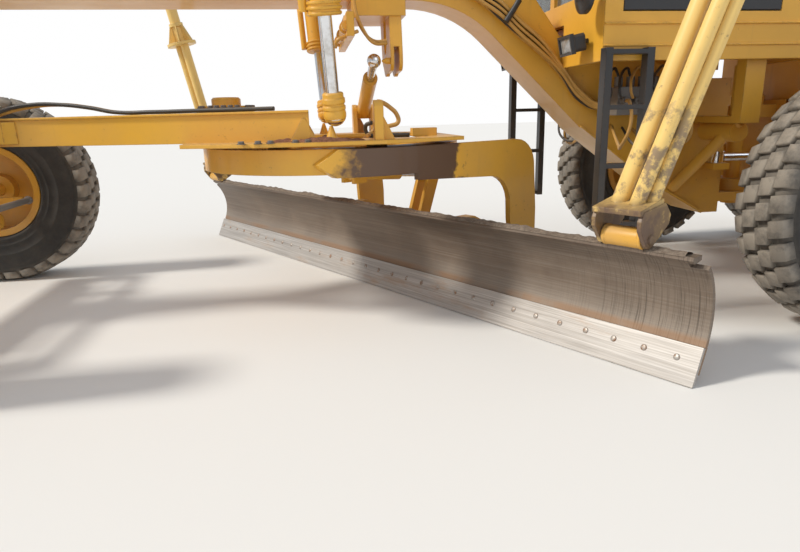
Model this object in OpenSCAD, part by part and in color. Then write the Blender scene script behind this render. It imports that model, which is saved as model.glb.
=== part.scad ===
// Motor grader with a hinged frame, a cab on the front half and a 16 ft moldboard.
// Millimetres, +X forward, +Y to the driver's left, +Z up, ground at z = 0.
// The origin is the middle of the machine's footprint, blade included, so the
// centreline of the frame lies line_y to the left of it.

/* [Layout] */
// Distance of the machine's centreline from the origin
line_y = 450; // [400:1:500]
// Front axle, forward of the origin
front_axle_x = 3577; // [3400:1:3700]
// Leading tandem axle
tandem_front_x = -1600; // [-1700:1:-1550]
// Trailing tandem axle
tandem_rear_x = -3130; // [-3250:1:-3080]
// Wheel centres from the centreline
wheel_y = 1155; // [1120:1:1200]
// Frame hinge between the two halves
hinge_x = -1650; // [-1700:1:-1620]
// Middle of the circle
circle_x = 1090; // [1000:1:1150]
// Ball at the front of the drawbar
ball_x = 3250; // [3200:1:3300]
// Height of the drawbar's ball
ball_z = 1110; // [1080:1:1140]
// Turn of the circle as parked
circle_turn = 31.1; // [25:0.1:35]

/* [Wheels] */
// Radius to the lug tips
tyre_r = 683; // [660:1:700]
// Width over the sidewalls
tyre_w = 355; // [330:1:380]
// Height of the lugs
lug_h = 26; // [14:1:34]
// Length of each lug round the tyre
lug_len = 120; // [90:1:125]
// Lugs in each row
lug_count = 22; // [16:1:24]
// Bead seat radius of the rim
seat_r = 305; // [290:1:320]
// Height of the rim flange over the bead seat
flange_h = 32; // [20:1:40]
// Width of the rim between its flanges
rim_w = 254; // [220:1:270]
// Radius of the wheel spindles
spindle_r = 45; // [35:1:55]

/* [Front axle] */
// Kingpins and wheel-lean pins from the centreline
lean_y = 880; // [870:1:890]
// Height of the wheel-lean pins
lean_z = 480; // [470:1:490]
// Steering arm length behind the kingpin
arm_len = 240; // [220:1:260]
// Height of the lean bar over the lean pins
lean_bar_up = 380; // [350:1:400]

/* [Front frame] */
// Width of the box frame
frame_w = 300; // [280:1:340]
// Height of its straight underside
frame_under_z = 1785; // [1750:1:1800]
// Depth of its box
frame_depth = 330; // [300:1:360]
// Where the straight part ends and the arch begins
arch_x = 605; // [560:1:650]
// Inner radius of the arch's bend
arch_r = 700; // [650:1:760]
// Slope of the arch behind its bend
arch_slope = 43.5; // [41:0.1:45]

/* [Cab] */
// Width of the cab
cab_w = 1400; // [1360:1:1440]
// Front face of the cab
cab_front_x = -300; // [-320:1:-280]
// Rear face of the cab
cab_rear_x = -1600; // [-1620:1:-1560]
// Underside of the cab's skirt panels
cab_skirt_z = 1400; // [1390:1:1420]
// Cab floor
cab_floor_z = 1640; // [1620:1:1660]
// Roof of the cab
cab_top_z = 3300; // [3200:1:3350]
// Thickness of the cab's walls
cab_wall = 45; // [35:1:60]

/* [Blade] */
// Length of the moldboard
blade_len = 4877; // [4267:1:4877]
// Moldboard's left end from the circle's middle
blade_left = 2162; // [2100:1:2200]
// Edge line behind the circle's middle
edge_back = 325; // [300:1:350]
// Radius of the moldboard's hollow face
blade_r = 315; // [300:1:340]
// Centre of that radius, forward of the edge line
blade_rx = 197; // [190:1:205]
// Centre of that radius over the ground
blade_rz = 300; // [290:1:310]
// Thickness of the moldboard
blade_t = 22; // [16:1:25]
// Height of the cutting edge
edge_h = 178; // [150:1:203]
// Thickness of the cutting edge
edge_t = 19; // [16:1:22]
// Gap of the edge's lower line over the ground
edge_gap = 4; // [2:1:10]

/* [Circle and drawbar] */
// Outer radius of the circle
circle_r = 765; // [740:1:790]
// Inner radius of the circle
circle_ri = 620; // [600:1:640]
// Underside of the circle ring
circle_z = 872; // [860:1:885]
// Top of the circle ring
circle_top_z = 1000; // [985:1:1004]
// Underside of the drawbar's yoke plate
yoke_z = 1016; // [1012:1:1020]
// Thickness of the yoke plate
yoke_t = 20; // [18:1:24]
// Underside of the drawbar's beams
beam_z = 1035; // [1030:1:1036]
// Height of the drawbar's beams
beam_h = 155; // [140:1:170]
// Width of the drawbar's beams
beam_w = 90; // [80:1:110]
// Inner faces of the circle's arms from its middle line
arm_y = 765; // [750:1:780]
// Thickness of the circle arms
arm_t = 35; // [30:1:45]
// Tip pins behind the circle's middle
tip_back = 860; // [820:1:900]
// Height of the tip pins
tip_z = 330; // [300:1:360]

/* [Cylinders] */
// Outer radius of the lift cylinders' barrels
lift_barrel_r = 65; // [60:1:72]
// Radius of the lift rods
lift_rod_r = 32; // [28:1:36]
// Lift pins on the drawbar, forward of the origin
lift_low_x = 1100; // [1090:1:1110]
// Lift pins on the drawbar from the centreline
lift_low_y = 720; // [700:1:740]
// Height of the lift pins on the drawbar
lift_low_z = 1165; // [1160:1:1180]
// Yokes of the lift arms, forward of the origin
lift_top_x = 1155; // [1140:1:1170]
// Yokes of the lift arms from the centreline
lift_top_y = 870; // [850:1:900]
// Height of the lift arms' yokes
lift_top_z = 2080; // [2050:1:2110]

/* [Masts] */
// Left mast's foot from the blade's left end
mast_in_left = 357; // [340:1:400]
// Right mast's foot from the blade's right end
mast_in_right = 125; // [110:1:400]
// Mast pins forward of the edge line
mast_fwd = -2; // [-10:1:10]
// Height of the mast's pin
mast_pin_z = 612; // [612:1:625]
// Length of the three mast tubes
mast_len = 1100; // [1000:1:1400]
// Length of the pole over the tubes
pole_len = 700; // [400:10:900]
// Outward splay of the left and the right mast
mast_splay = [13, 5]; // [0:1:18]
// Backward lean of the left and the right mast
mast_lean = [12, -10]; // [-16:0.1:20]

/* [Hidden] */
$fn = 48;

// Clearance of running fits and of faces that slide past each other
gap = 0.5;
fit = 0.3;
yellow = [0.80, 0.52, 0.08];
black = [0.05, 0.05, 0.05];
steel = [0.62, 0.62, 0.62];
chrome = [0.85, 0.86, 0.88];
rubber = [0.17, 0.16, 0.15];
glass = [0.35, 0.45, 0.50, 0.4];
blade_far = blade_len - blade_left;
frame_top_z = frame_under_z + frame_depth;

// Moves what is drawn about the machine's centreline to the origin's frame
module on_line() { translate([0, line_y, 0]) children(); }

// The turned frame of the circle: x towards the blade's front, y to its left end
module on_circle() { on_line() translate([circle_x, 0, 0]) rotate([0, 0, circle_turn]) children(); }

// Lays a shape drawn along +Z from the point p towards the point q
module along(p, q) {
    v = q - p;
    translate(p) rotate([0, acos(v[2] / norm(v)), atan2(v[1], v[0])]) children();
}

// Round bar from p to q
module bar(p, q, r) { along(p, q) cylinder(r = r, h = norm(q - p)); }

// Block from its lowest to its highest corner
module block(low, high) { translate(low) cube(high - low); }

// Side view drawn as [x, z] points, as thick as w and centred on y
module side_plate(points, w) { rotate([90, 0, 0]) linear_extrude(w, center = true) polygon(points); }

// Pin or ring with its axis along y or x
module pin_y(r, w) { rotate([90, 0, 0]) cylinder(r = r, h = w, center = true); }
module pin_x(r, w) { rotate([0, 90, 0]) cylinder(r = r, h = w, center = true); }

// Wheels

// One tyre, axle along y: a carcass and two staggered rows of slanted lugs
module tyre_at(x, side) {
    half = tyre_w / 2;
    carcass_r = tyre_r - lug_h;
    face_r = sqrt(tyre_r * tyre_r - lug_len * lug_len / 4);
    color(rubber) on_line() translate([x, side * wheel_y, tyre_r]) rotate([90, 0, 0]) {
        rotate_extrude() polygon([
            [seat_r + fit, -rim_w / 2 + fit], [seat_r + flange_h + 2, -rim_w / 2 + fit],
            [seat_r + flange_h + 12, -half + 24], [seat_r + 110, -half + 5], [seat_r + 230, -half],
            [carcass_r - 12, -half + 30], [carcass_r, -half + 62], [carcass_r, half - 62],
            [carcass_r - 12, half - 30], [seat_r + 230, half], [seat_r + 110, half - 5],
            [seat_r + flange_h + 12, half - 24], [seat_r + flange_h + 2, rim_w / 2 - fit],
            [seat_r + fit, rim_w / 2 - fit],
        ]);
        for (row = [-1, 1], i = [0 : lug_count - 1])
            rotate([0, 0, (i + (row + 1) / 4) * 360 / lug_count]) translate([0, -face_r, row * half / 2])
                rotate([0, row * 14, 0]) translate([-lug_len / 2, 0, -half / 2 + 14])
                    cube([lug_len, lug_h + 20, half - 28]);
    }
}

// One rim with its disc at the given distance outwards from the wheel's middle
module rim_at(x, side, disc_out) {
    hub_r = 105;
    half = rim_w / 2;
    color(yellow) on_line() translate([x, side * wheel_y, tyre_r]) rotate([side * -90, 0, 0]) {
        rotate_extrude() polygon([
            [seat_r - 16, -half - 14], [seat_r + flange_h, -half - 14], [seat_r + flange_h, -half],
            [seat_r, -half], [seat_r, half],
            [seat_r + flange_h, half], [seat_r + flange_h, half + 14], [seat_r - 16, half + 14],
        ]);
        rotate_extrude() polygon([
            [spindle_r + fit, disc_out - 70], [hub_r, disc_out - 70], [hub_r + 8, disc_out - 8],
            [seat_r - 15, disc_out - 30], [seat_r - 15, disc_out - 14], [hub_r + 8, disc_out + 8],
            [hub_r - 20, disc_out + 60], [spindle_r + fit, disc_out + 60],
        ]);
    }
}

module tyre_rear_left_1() { tyre_at(tandem_front_x, 1); }
module tyre_rear_left_2() { tyre_at(tandem_rear_x, 1); }
module tyre_rear_right_1() { tyre_at(tandem_front_x, -1); }
module tyre_rear_right_2() { tyre_at(tandem_rear_x, -1); }
module tyre_front_left() { tyre_at(front_axle_x, 1); }
module tyre_front_right() { tyre_at(front_axle_x, -1); }
module rim_rear_left_1() { rim_at(tandem_front_x, 1, 0); }
module rim_rear_left_2() { rim_at(tandem_rear_x, 1, 0); }
module rim_rear_right_1() { rim_at(tandem_front_x, -1, 0); }
module rim_rear_right_2() { rim_at(tandem_rear_x, -1, 0); }
module rim_front_left() { rim_at(front_axle_x, 1, 60); }
module rim_front_right() { rim_at(front_axle_x, -1, 60); }

// Rear half

case_in = 760;
case_out = 940;
rail_y = 340;
rail_low_z = 960;
rail_top_z = 1190;
rear_end_x = -4290;

// Chain cases between the tandem wheels, with their spindles
module tandem_cases() {
    color(yellow) on_line() for (side = [-1, 1]) {
        translate([0, side * (case_in + case_out) / 2, 0]) {
            side_plate([
                [tandem_rear_x, tyre_r - 230], [tandem_front_x, tyre_r - 230],
                [tandem_front_x, tyre_r + 200], [tandem_rear_x, tyre_r + 200],
            ], case_out - case_in);
            for (x = [tandem_rear_x, tandem_front_x])
                translate([x, 0, tyre_r - 15]) pin_y(215, case_out - case_in);
        }
        for (x = [tandem_rear_x, tandem_front_x]) {
            translate([x, side * (case_out + 25), tyre_r]) pin_y(95, 50);
            translate([x, side * (case_out + 140), tyre_r]) pin_y(spindle_r, 280);
        }
    }
}

// Rails, axle housing, hinge lugs, rear bumper and the platform beside the engine
module rear_frame() {
    mid_x = (tandem_front_x + tandem_rear_x) / 2;
    color(yellow) on_line() {
        for (side = [-1, 1]) {
            block([rear_end_x + 60, side * rail_y - 40, rail_low_z],
                [-1900, side * rail_y + 40, rail_top_z]);
            block([mid_x - 150, side * rail_y - 55, tyre_r], [mid_x + 150, side * rail_y + 55, rail_low_z]);
        }
        translate([mid_x, 0, tyre_r]) pin_y(150, 2 * case_in - 2 * gap);
        translate([mid_x, 0, tyre_r]) pin_y(250, 420);
        // Cross members and the nose that carries the hinge lugs
        block([-1990, -rail_y - 40, rail_low_z], [-1900, rail_y + 40, rail_top_z]);
        block([rear_end_x, -430, 700], [rear_end_x + 60, 430, rail_top_z]);
        difference() {
            union() {
                block([-1990, -200, 540], [-1820, 200, rail_low_z]);
                for (z = [640, 1120]) {
                    block([-1820, -130, z - 40], [hinge_x, 130, z + 40]);
                    translate([hinge_x, 0, z - 40]) cylinder(r = 130, h = 80);
                }
                block([-1830, -200, rail_low_z], [-1820, 200, rail_top_z]);
            }
            translate([hinge_x, 0, 400]) cylinder(r = 50 + fit, h = 1000);
        }
        // Feet of the hinge cylinders
        for (side = [-1, 1])
            block([-2045, side > 0 ? 190 : -390, 735], [-1925, side > 0 ? 390 : -190, 780]);
        // Round tail lamps
        for (side = [-1, 1]) translate([rear_end_x - 14, side * 360, 1120]) pin_x(46, 31);
    }
}

module engine_block() {
    seat = rail_y - 40 - fit;
    color(steel) on_line() {
        block([rear_end_x + 640, -260, rail_top_z - 130], [hood_front_x - 590, 260, 1950]);
        for (x = [rear_end_x + 790, hood_front_x - 840]) block([x, -seat, 1080], [x + 100, seat, 1150]);
    }
}

hood_front_x = -1860;
stack_x = hood_front_x - 440;
hood_top_z = 2180;
// Hood over engine and radiator, open below
module hood() {
    half = 500;
    wall = 30;
    color(yellow) on_line() {
        difference() {
            side_plate([
                [rear_end_x + 70, rail_top_z + gap], [hood_front_x, rail_top_z + gap],
                [hood_front_x, hood_top_z], [hood_front_x - 940, hood_top_z],
                [rear_end_x + 130, hood_top_z - 60],
            ], 2 * half);
            side_plate([
                [rear_end_x + 40, rail_top_z - 20], [hood_front_x - wall, rail_top_z - 20],
                [hood_front_x - wall, hood_top_z - wall], [hood_front_x - 940, hood_top_z - wall],
                [rear_end_x + 100, hood_top_z - 60 - wall],
            ], 2 * half - 2 * wall);
            // Louvres of the engine doors
            for (s = [-1, 1], panel = [rear_end_x + 390, rear_end_x + 1290], i = [0 : 6])
                block([panel, s * half - 60, 1500 + i * 70], [panel + 520, s * half + 60, 1530 + i * 70]);
        }
        // Handles and door frames
        for (s = [-1, 1], x = [rear_end_x + 940, hood_front_x - 540])
            block([x, s > 0 ? half - 1 : -half - 14, 1380], [x + 30, s > 0 ? half + 14 : -half + 1, 1500]);
    }
}

// Radiator core behind its grille bars
module radiator_grille() {
    low_z = rail_top_z + 60;
    high_z = hood_top_z - 130;
    color(black) on_line() {
        block([rear_end_x + 150, -440, low_z], [rear_end_x + 230, 440, high_z]);
        for (y = [-440, 400])
            block([rear_end_x + 100, y, low_z], [rear_end_x + 150, y + 40, high_z]);
        for (i = [0 : 11])
            block([rear_end_x + 100, -400, low_z + i * 70], [rear_end_x + 118, 400, low_z + i * 70 + 22]);
        block([rear_end_x + 150, -470 + gap, low_z - 60 + fit], [rear_end_x + 230, 470 - gap, low_z]);
    }
}

// Exhaust and air cleaner on the hood
module exhaust_stack() {
    color(black) on_line() {
        translate([stack_x, 180, hood_top_z + fit]) cylinder(r = 60, h = 560);
        translate([stack_x, 180, hood_top_z + 560]) cylinder(r = 45, h = 330);
        translate([stack_x, -200, hood_top_z + fit]) cylinder(r = 110, h = 340);
        translate([stack_x, -200, hood_top_z + 340]) cylinder(r = 70, h = 160);
        translate([stack_x, -200, hood_top_z + 500]) cylinder(r = 130, h = 110);
    }
}

// Hinge cylinders between the two halves, one on each side
hinge_pin_z = 780;
hinge_rear = [-1975, 330];
hinge_front = [-1330, 270];
function hinge_foot(side) = [hinge_rear[0], side * hinge_rear[1], 0];
function hinge_tip(side) = [hinge_front[0], side * hinge_front[1], 0];
module hinge_barrel(side) {
    p = hinge_foot(side) + [0, 0, 845];
    q = hinge_tip(side) + [0, 0, 845];
    color(yellow) on_line() {
        difference() {
            union() {
                along(p, q) translate([0, 0, 40]) cylinder(r = 50, h = 380);
                translate([p[0], p[1], 780 + gap]) cylinder(r = 48, h = 110);
            }
            along(p, q) translate([0, 0, 120]) cylinder(r = 28 + fit, h = 400);
        }
    }
}
module hinge_rod(side) {
    p = hinge_foot(side) + [0, 0, 845];
    q = hinge_tip(side) + [0, 0, 845];
    color(chrome) on_line() {
        along(p, q) translate([0, 0, 240]) cylinder(r = 28, h = norm(q - p) - 275);
        translate([q[0], q[1], 810 + gap]) cylinder(r = 42, h = 70);
    }
}
module hinge_barrel_left() { hinge_barrel(1); }
module hinge_barrel_right() { hinge_barrel(-1); }
module hinge_rod_left() { hinge_rod(1); }
module hinge_rod_right() { hinge_rod(-1); }

// Front half

// Points of an arc about a centre, from one angle to another
function arc(c, r, from, to, n) = [for (i = [0 : n]) let (a = from + (to - from) * i / n)
    [c[0] + r * cos(a), c[1] + r * sin(a)]];

// Underside and top of the arched frame, in the side view
arch_c = [arch_x, frame_under_z - arch_r];
arch_end = [arch_x - arch_r * sin(arch_slope), frame_under_z - arch_r * (1 - cos(arch_slope))];
nose_x = 4020;
knee = [-450, arch_end[1] - (arch_end[0] + 450) * tan(arch_slope)];
module front_frame() {
    color(yellow) on_line() {
        difference() {
            side_plate(concat(
                [[nose_x - 60, frame_under_z], [nose_x - 60, frame_top_z], [arch_x, frame_top_z]],
                [for (a = [5 : 7.7 : arch_slope]) [arch_x - (arch_r + frame_depth) * sin(a),
                    arch_c[1] + (arch_r + frame_depth) * cos(a)]],
                [[-290, 1590], [-1330, 1330], [-1460, 1330], [-1460, 470], [-1330, 470], [-940, 690], knee],
                [for (a = [arch_slope : -5.4375 : 0]) [arch_x - arch_r * sin(a),
                    arch_c[1] + arch_r * cos(a)]]
            ), frame_w);
            translate([-1000, 0, 1000]) cube([10, 2 * frame_w, 10], center = true);
        }
        // Flange along the belly
        side_plate([[-1330, 470], [-940, 690], knee, knee + [0, 14], [-946, 706], [-1330, 489]],
            frame_w + 50);
        // Hinge fork
        for (z = [569.5, 1190.5]) {
            block([hinge_x, -150, z - 30], [-1459, 150, z + 30]);
            translate([hinge_x, 0, z - 30]) cylinder(r = 140, h = 60);
        }
        translate([hinge_x, 0, 505]) cylinder(r = 50, h = 750);
        // Ears of the hinge cylinders
        block([-1380, -330, 770], [-1270, 330, 810]);
        // Bolster over the front axle
        block([front_axle_x - 200, -170, 900], [nose_x - 60, 170, frame_under_z + 1]);
        block([nose_x - 60, -230, 880], [nose_x, 230, 1560]);
        for (x = [front_axle_x + axle_hub[0] - 70, front_axle_x + axle_hub[1]]) difference() {
            block([x, -120, axle_pin_z - 60], [x + 70, 120, 901]);
            translate([x, 0, axle_pin_z]) pin_x(40 + fit, 400);
        }
        // Cross beam and posts that carry the cab
        for (side = [-1, 1]) {
            block([-1300, side > 0 ? 149 : -640, 1060], [-1180, side > 0 ? 640 : -149, 1100]);
            block([-1300, side * 600 - 40, 1099], [-1180, side * 600 + 40, cab_floor_z - 40 - fit]);
        }
        block([-560, -420, 1480], [-460, 420, cab_floor_z - 40 - fit]);
        for (side = [-1, 1]) {
            bar([-1250, side * 540, 1070], [-1120, side * 140, 640], 34);
            translate([-1240, side * 560, 0]) rotate([90, 0, 90]) linear_extrude(12)
                polygon([[-80, 1099], [80, 1099], [80, 1150], [48, 1380], [-80, 1380]]);
            translate([-1250, side * 400, 1010]) pin_y(60, 300);
            block([-1275, side * 400 - 60, 1010], [-1225, side * 400 + 60, 1070]);
        }
        // Jaws over and under the drawbar's ball, with the bores of its upright pin
        difference() {
            union() {
                block([ball_x + 80, -120, ball_z - 125], [front_axle_x - 199, 120, ball_z + 125]);
                block([ball_x, -60, ball_z - 125], [ball_x + 81, 60, ball_z + 125]);
                translate([ball_x, 0, ball_z - 125]) cylinder(r = 60, h = 250);
            }
            translate([ball_x, 0, ball_z]) sphere(r = 75 + fit);
            translate([ball_x, 0, ball_z - 130]) cylinder(r = 28 + fit, h = 260);
            // Room for the cross pin as the ball turns in the jaws
            translate([ball_x, 0, ball_z]) rotate([90, 0, 0]) cylinder(r = 46, h = 260, center = true);
        }
    }
}

module saddle() {
    color(yellow) on_line() {
        difference() {
            block([650, -frame_w / 2 - 60, frame_under_z - 90], [950, frame_w / 2 + 60, frame_top_z + 70]);
            block([640, -frame_w / 2 - gap, frame_under_z - gap],
                [960, frame_w / 2 + gap, frame_top_z + gap]);
        }
        for (side = [-1, 1]) {
            // Lift arm out to the yoke
            along([880, side * 200, 1960], [lift_top_x - 20, side * (lift_top_y - 130), lift_top_z])
                translate([0, 0, -8]) cylinder(r = 75, h = 560);
            // Yoke: an open ring about the barrel
            difference() {
                translate([lift_top_x, side * lift_top_y, lift_top_z - 55]) cylinder(r = 150, h = 110);
                translate([lift_top_x, side * lift_top_y, lift_top_z - 100]) cylinder(r = 112, h = 200);
                translate([lift_top_x, side * lift_top_y, lift_top_z]) pin_x(35 + fit, 320);
            }
        }
        // Link bar and the lobe that holds the centre-shift rod
        block([960, -420, frame_under_z - 220], [1000, 420, frame_under_z - 100]);
        block([935, -210, frame_under_z - 101], [1000, 210, frame_under_z - 89]);
        translate([1000, 0, frame_under_z - 165]) pin_y(24, 800);
        for (y = [-300, 0, 300]) translate([1000, y, frame_under_z - 165]) pin_y(34, 40);
        difference() {
            translate([675, 0, 0]) rotate([90, 0, 90]) linear_extrude(70) difference() {
                polygon(concat([[200, frame_under_z - 89], [235, 1480]], arc([180, 1455], 55, 10, -80, 5),
                    arc([0, 1475], 95, -60, -120, 4), arc([-100, 1500], 55, -100, -180, 5),
                    [[-200, frame_under_z - 89]]));
                polygon(concat(arc([0, 1660], 55, 0, 180, 6), arc([0, 1560], 55, 180, 360, 6)));
            }
            // Gap between the fork's two tines
            block([695, -260, 1370], [725, 260, 1530]);
        }
        translate([744, shift_top[1], shift_top[2]]) rotate([0, 90, 0]) {
            cylinder(r = 18, h = 24);
            translate([0, 0, 24]) cylinder(r1 = 18, r2 = 5, h = shift_top[0] - 45.5 - 768);
        }
    }
}

// Front axle: beam with forks for the wheel-lean pins, hung on a pin under the bolster
axle_pin_z = 700;
axle_hub = [-110, 150];
arm_z = tyre_r - 58;
track_x = front_axle_x - arm_len - 34 - gap - 30;
steer_z = arm_z + 65;
steer_foot = [front_axle_x - 230, -430];
steer_tip = [track_x, 190];
module front_axle() {
    color(yellow) on_line() {
        translate([front_axle_x, 0, 0]) {
            block([-95, -lean_y + 205, lean_z - 50], [95, lean_y - 205, lean_z + 110]);
            block([-95, -200, lean_z + 109], [95, 200, lean_z + 150]);
            hub = axle_hub[1] - axle_hub[0] - 2 * gap;
            translate([(axle_hub[0] + axle_hub[1]) / 2, 0, axle_pin_z]) {
                pin_x(95, hub);
                pin_x(40, hub + 140);
            }
            for (s = [-1, 1]) for (x = [-95, 45]) difference() {
                union() {
                    block([x, s > 0 ? lean_y - 206 : -lean_y, lean_z - 50],
                        [x + 50, s > 0 ? lean_y : -lean_y + 206, lean_z + 50]);
                    translate([x + 25, s * lean_y, lean_z]) pin_x(50, 50);
                }
                translate([x + 25, s * lean_y, lean_z]) pin_x(25 + fit, 60);
            }
        }
        // Bracket over the foot of the steering cylinder
        block([front_axle_x - 95, steer_foot[1] - 40, lean_z + 100],
            [front_axle_x - 45, steer_foot[1] + 40, steer_z + 75]);
        block([steer_foot[0] - 40, steer_foot[1] - 40, steer_z + 41],
            [front_axle_x - 45, steer_foot[1] + 40, steer_z + 75]);
    }
}

// Lean bracket: pin in the axle's fork, two kingpin ears and the pin of the lean bar
module lean_bracket(s) {
    color(yellow) on_line() translate([front_axle_x, s * lean_y, 0]) {
        translate([0, 0, lean_z]) pin_x(25, 196);
        translate([0, 0, lean_z]) pin_x(55, 89);
        for (z = [lean_z + 85, axle_pin_z + 110]) difference() {
            block([-44, s > 0 ? -125 : -58, z - 20], [44, s > 0 ? 58 : 125, z + 20]);
            translate([0, 0, z - 50]) cylinder(r = 28 + fit, h = 100);
        }
        block([-30, -30, lean_z + 40], [30, 30, lean_z + 66]);
        block([0, s > 0 ? -125 : 75, lean_z + 66], [44, s > 0 ? -75 : 125, axle_pin_z + 120]);
        block([-44, -20, axle_pin_z + 128.5], [44, 20, lean_z + lean_bar_up - 10]);
        translate([0, 0, lean_z + lean_bar_up]) pin_x(30, 88);
        translate([70, 0, lean_z + lean_bar_up]) pin_x(20, 60);
    }
}
module lean_bracket_left() { lean_bracket(1); }
module lean_bracket_right() { lean_bracket(-1); }

// Knuckle: hub on the kingpin, spindle and steering arm
module knuckle(s) {
    low = lean_z + 105 + gap;
    high = axle_pin_z + 90 - gap;
    color(yellow) on_line() translate([front_axle_x, s * lean_y, 0]) {
        translate([0, 0, lean_z + 67]) cylinder(r = 28, h = axle_pin_z + 60 - lean_z);
        translate([0, 0, low]) cylinder(r = 58, h = high - low);
        translate([0, s * 45, tyre_r]) pin_y(75, 70);
        translate([0, s * 220, tyre_r]) pin_y(spindle_r, 350);
        block([-arm_len, -26, arm_z - 25], [-30, 26, arm_z + 25]);
        translate([-arm_len, 0, arm_z - 25]) cylinder(r = 34, h = 50);
    }
}
module knuckle_left() { knuckle(1); }
module knuckle_right() { knuckle(-1); }

module lean_bar() {
    color(yellow) on_line() translate([front_axle_x + 70, 0, lean_z + lean_bar_up]) difference() {
        union() {
            block([-25, -lean_y, -22], [25, lean_y, 22]);
            for (s = [-1, 1]) translate([0, s * lean_y, 0]) pin_x(38, 50);
        }
        for (s = [-1, 1]) translate([0, s * lean_y, 0]) pin_x(20 + fit, 60);
    }
}

// Tie rod behind the steering arms; its left end turns with the arm's ball
module tie_rod() {
    color(steel) on_line() translate([track_x, 0, arm_z]) {
        bar([0, -lean_y, 0], [0, lean_y - 30 - gap, 0], 22);
        translate([0, -lean_y, 0]) sphere(r = 30);
        translate([0, steer_tip[1], 0]) block([-30, -40, 0], [30, 40, 23]);
    }
}
module tie_rod_end() {
    color(steel) on_line() translate([track_x, lean_y, arm_z]) {
        sphere(r = 30);
        translate([-22, 0, 0]) pin_x(14, 56);
    }
}

module steering_barrel() {
    p = [steer_foot[0], steer_foot[1], steer_z];
    q = [steer_tip[0], steer_tip[1], steer_z];
    color(yellow) on_line() difference() {
        union() {
            translate(p - [0, 0, 40]) cylinder(r = 36, h = 80.5);
            along(p, q) cylinder(r = 38, h = 400);
        }
        along(p, q) translate([0, 0, 60]) cylinder(r = 20 + fit, h = 400);
    }
}
module steering_rod() {
    p = [steer_foot[0], steer_foot[1], steer_z];
    q = [steer_tip[0], steer_tip[1], steer_z];
    color(chrome) on_line() {
        along(p, q) translate([0, 0, 300]) cylinder(r = 20, h = norm(q - p) - 310);
        translate(q - [0, 0, 41]) cylinder(r = 34, h = 70);
    }
}

// Cab

module cab_shell() {
    half = cab_w / 2;
    // Hinge pins of the doors
    color(yellow) on_line() for (s = [-1, 1], z = door_hinge_z) {
        translate([door_rear_x, s * (half + 15), z - 40]) cylinder(r = 8, h = 100);
        translate([door_rear_x, s * (half + 15), z - 40]) cylinder(r = 14, h = 40 - fit);
        block([door_rear_x - 60, s > 0 ? half - 1 : -half - 20, z - 40],
            [door_rear_x, s > 0 ? half + 20 : -half + 1, z - fit]);
    }
    color(yellow) on_line() difference() {
        union() {
            // Skirt and floor
            block([cab_rear_x, -half, cab_skirt_z], [cab_front_x, half, cab_floor_z]);
            // Rear and front walls, corner posts and roof
            block([cab_rear_x, -half, cab_floor_z - 1], [cab_rear_x + cab_wall, half, cab_top_z - 90]);
            block([cab_front_x - cab_wall, -half, cab_floor_z - 1], [cab_front_x, half, cab_top_z - 90]);
            for (y = [-half, half - cab_wall])
                block([cab_rear_x, y, cab_floor_z - 1], [door_rear_x, y + cab_wall, cab_top_z - 90]);
            for (x = [cab_rear_x, cab_front_x - 100], y = [-half, half - 70])
                block([x, y, cab_floor_z - 1], [x + 80, y + 70, cab_top_z - 90]);
            block([cab_rear_x - 40, -half - 30, cab_top_z - 91], [cab_front_x + 120, half + 30, cab_top_z]);
        }
        // Hollow under the floor
        block([cab_rear_x + 40, -half + 40, cab_skirt_z - 10],
            [cab_front_x - 40, half - 40, cab_floor_z - 40]);
        block([cab_front_x - 60, -190, cab_skirt_z - 10], [cab_front_x + 10, 190, 1640]);
        block([cab_rear_x - 10, -190, cab_skirt_z - 10], [cab_rear_x + 60, 190, 1600]);
        // Windows
        for (y = [-half + 90, 30])
            block([cab_front_x - 100, y, 1760], [cab_front_x + 10, y + half - 120, cab_top_z - 160]);
        block([cab_rear_x - 10, -half + 110, 2100], [cab_rear_x + 100, half - 110, cab_top_z - 160]);
        for (s = [-1, 1])
            block([cab_rear_x + 80, s * half - 60, 2100],
                [door_rear_x - 60, s * half + 60, cab_top_z - 160]);
        // Hollow under the roof
        block([cab_rear_x + 60, -half + 60, cab_top_z - 100],
            [cab_front_x - 60, half - 60, cab_top_z - 40]);
    }
}

door_front_x = -400;
door_rear_x = -1300;
door_hinge_z = [1900, 2900];
module cab_glass() {
    half = cab_w / 2;
    color(glass) on_line() {
        for (y = [-half + 90, 30])
            block([cab_front_x - 30, y + fit, 1760 + fit],
                [cab_front_x - 22, y + half - 120 - fit, cab_top_z - 160 - fit]);
        block([cab_rear_x + 22, -half + 110 + fit, 2100 + fit],
            [cab_rear_x + 30, half - 110 - fit, cab_top_z - 160 - fit]);
    }
}

module cab_interior() {
    z = cab_floor_z + gap;
    color(black) on_line() {
        block([-1250, -120, z], [-950, 120, z + 260]);
        block([-1280, -250, z + 260], [-820, 250, z + 400]);
        block([-1360, -240, z + 400], [-1230, 240, z + 1050]);
        block([-560, -160, z], [-420, 160, z + 700]);
        along([-520, 0, z + 680], [-640, 0, z + 860]) cylinder(r = 30, h = 216);
        translate([-660, 0, z + 880]) rotate([0, -34, 0])
            rotate_extrude() translate([180, 0]) circle(r = 16);
        along([-520, 0, z + 680], [-640, 0, z + 860]) translate([0, 0, 216]) cylinder(r = 175, h = 12);
    }
}

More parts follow.
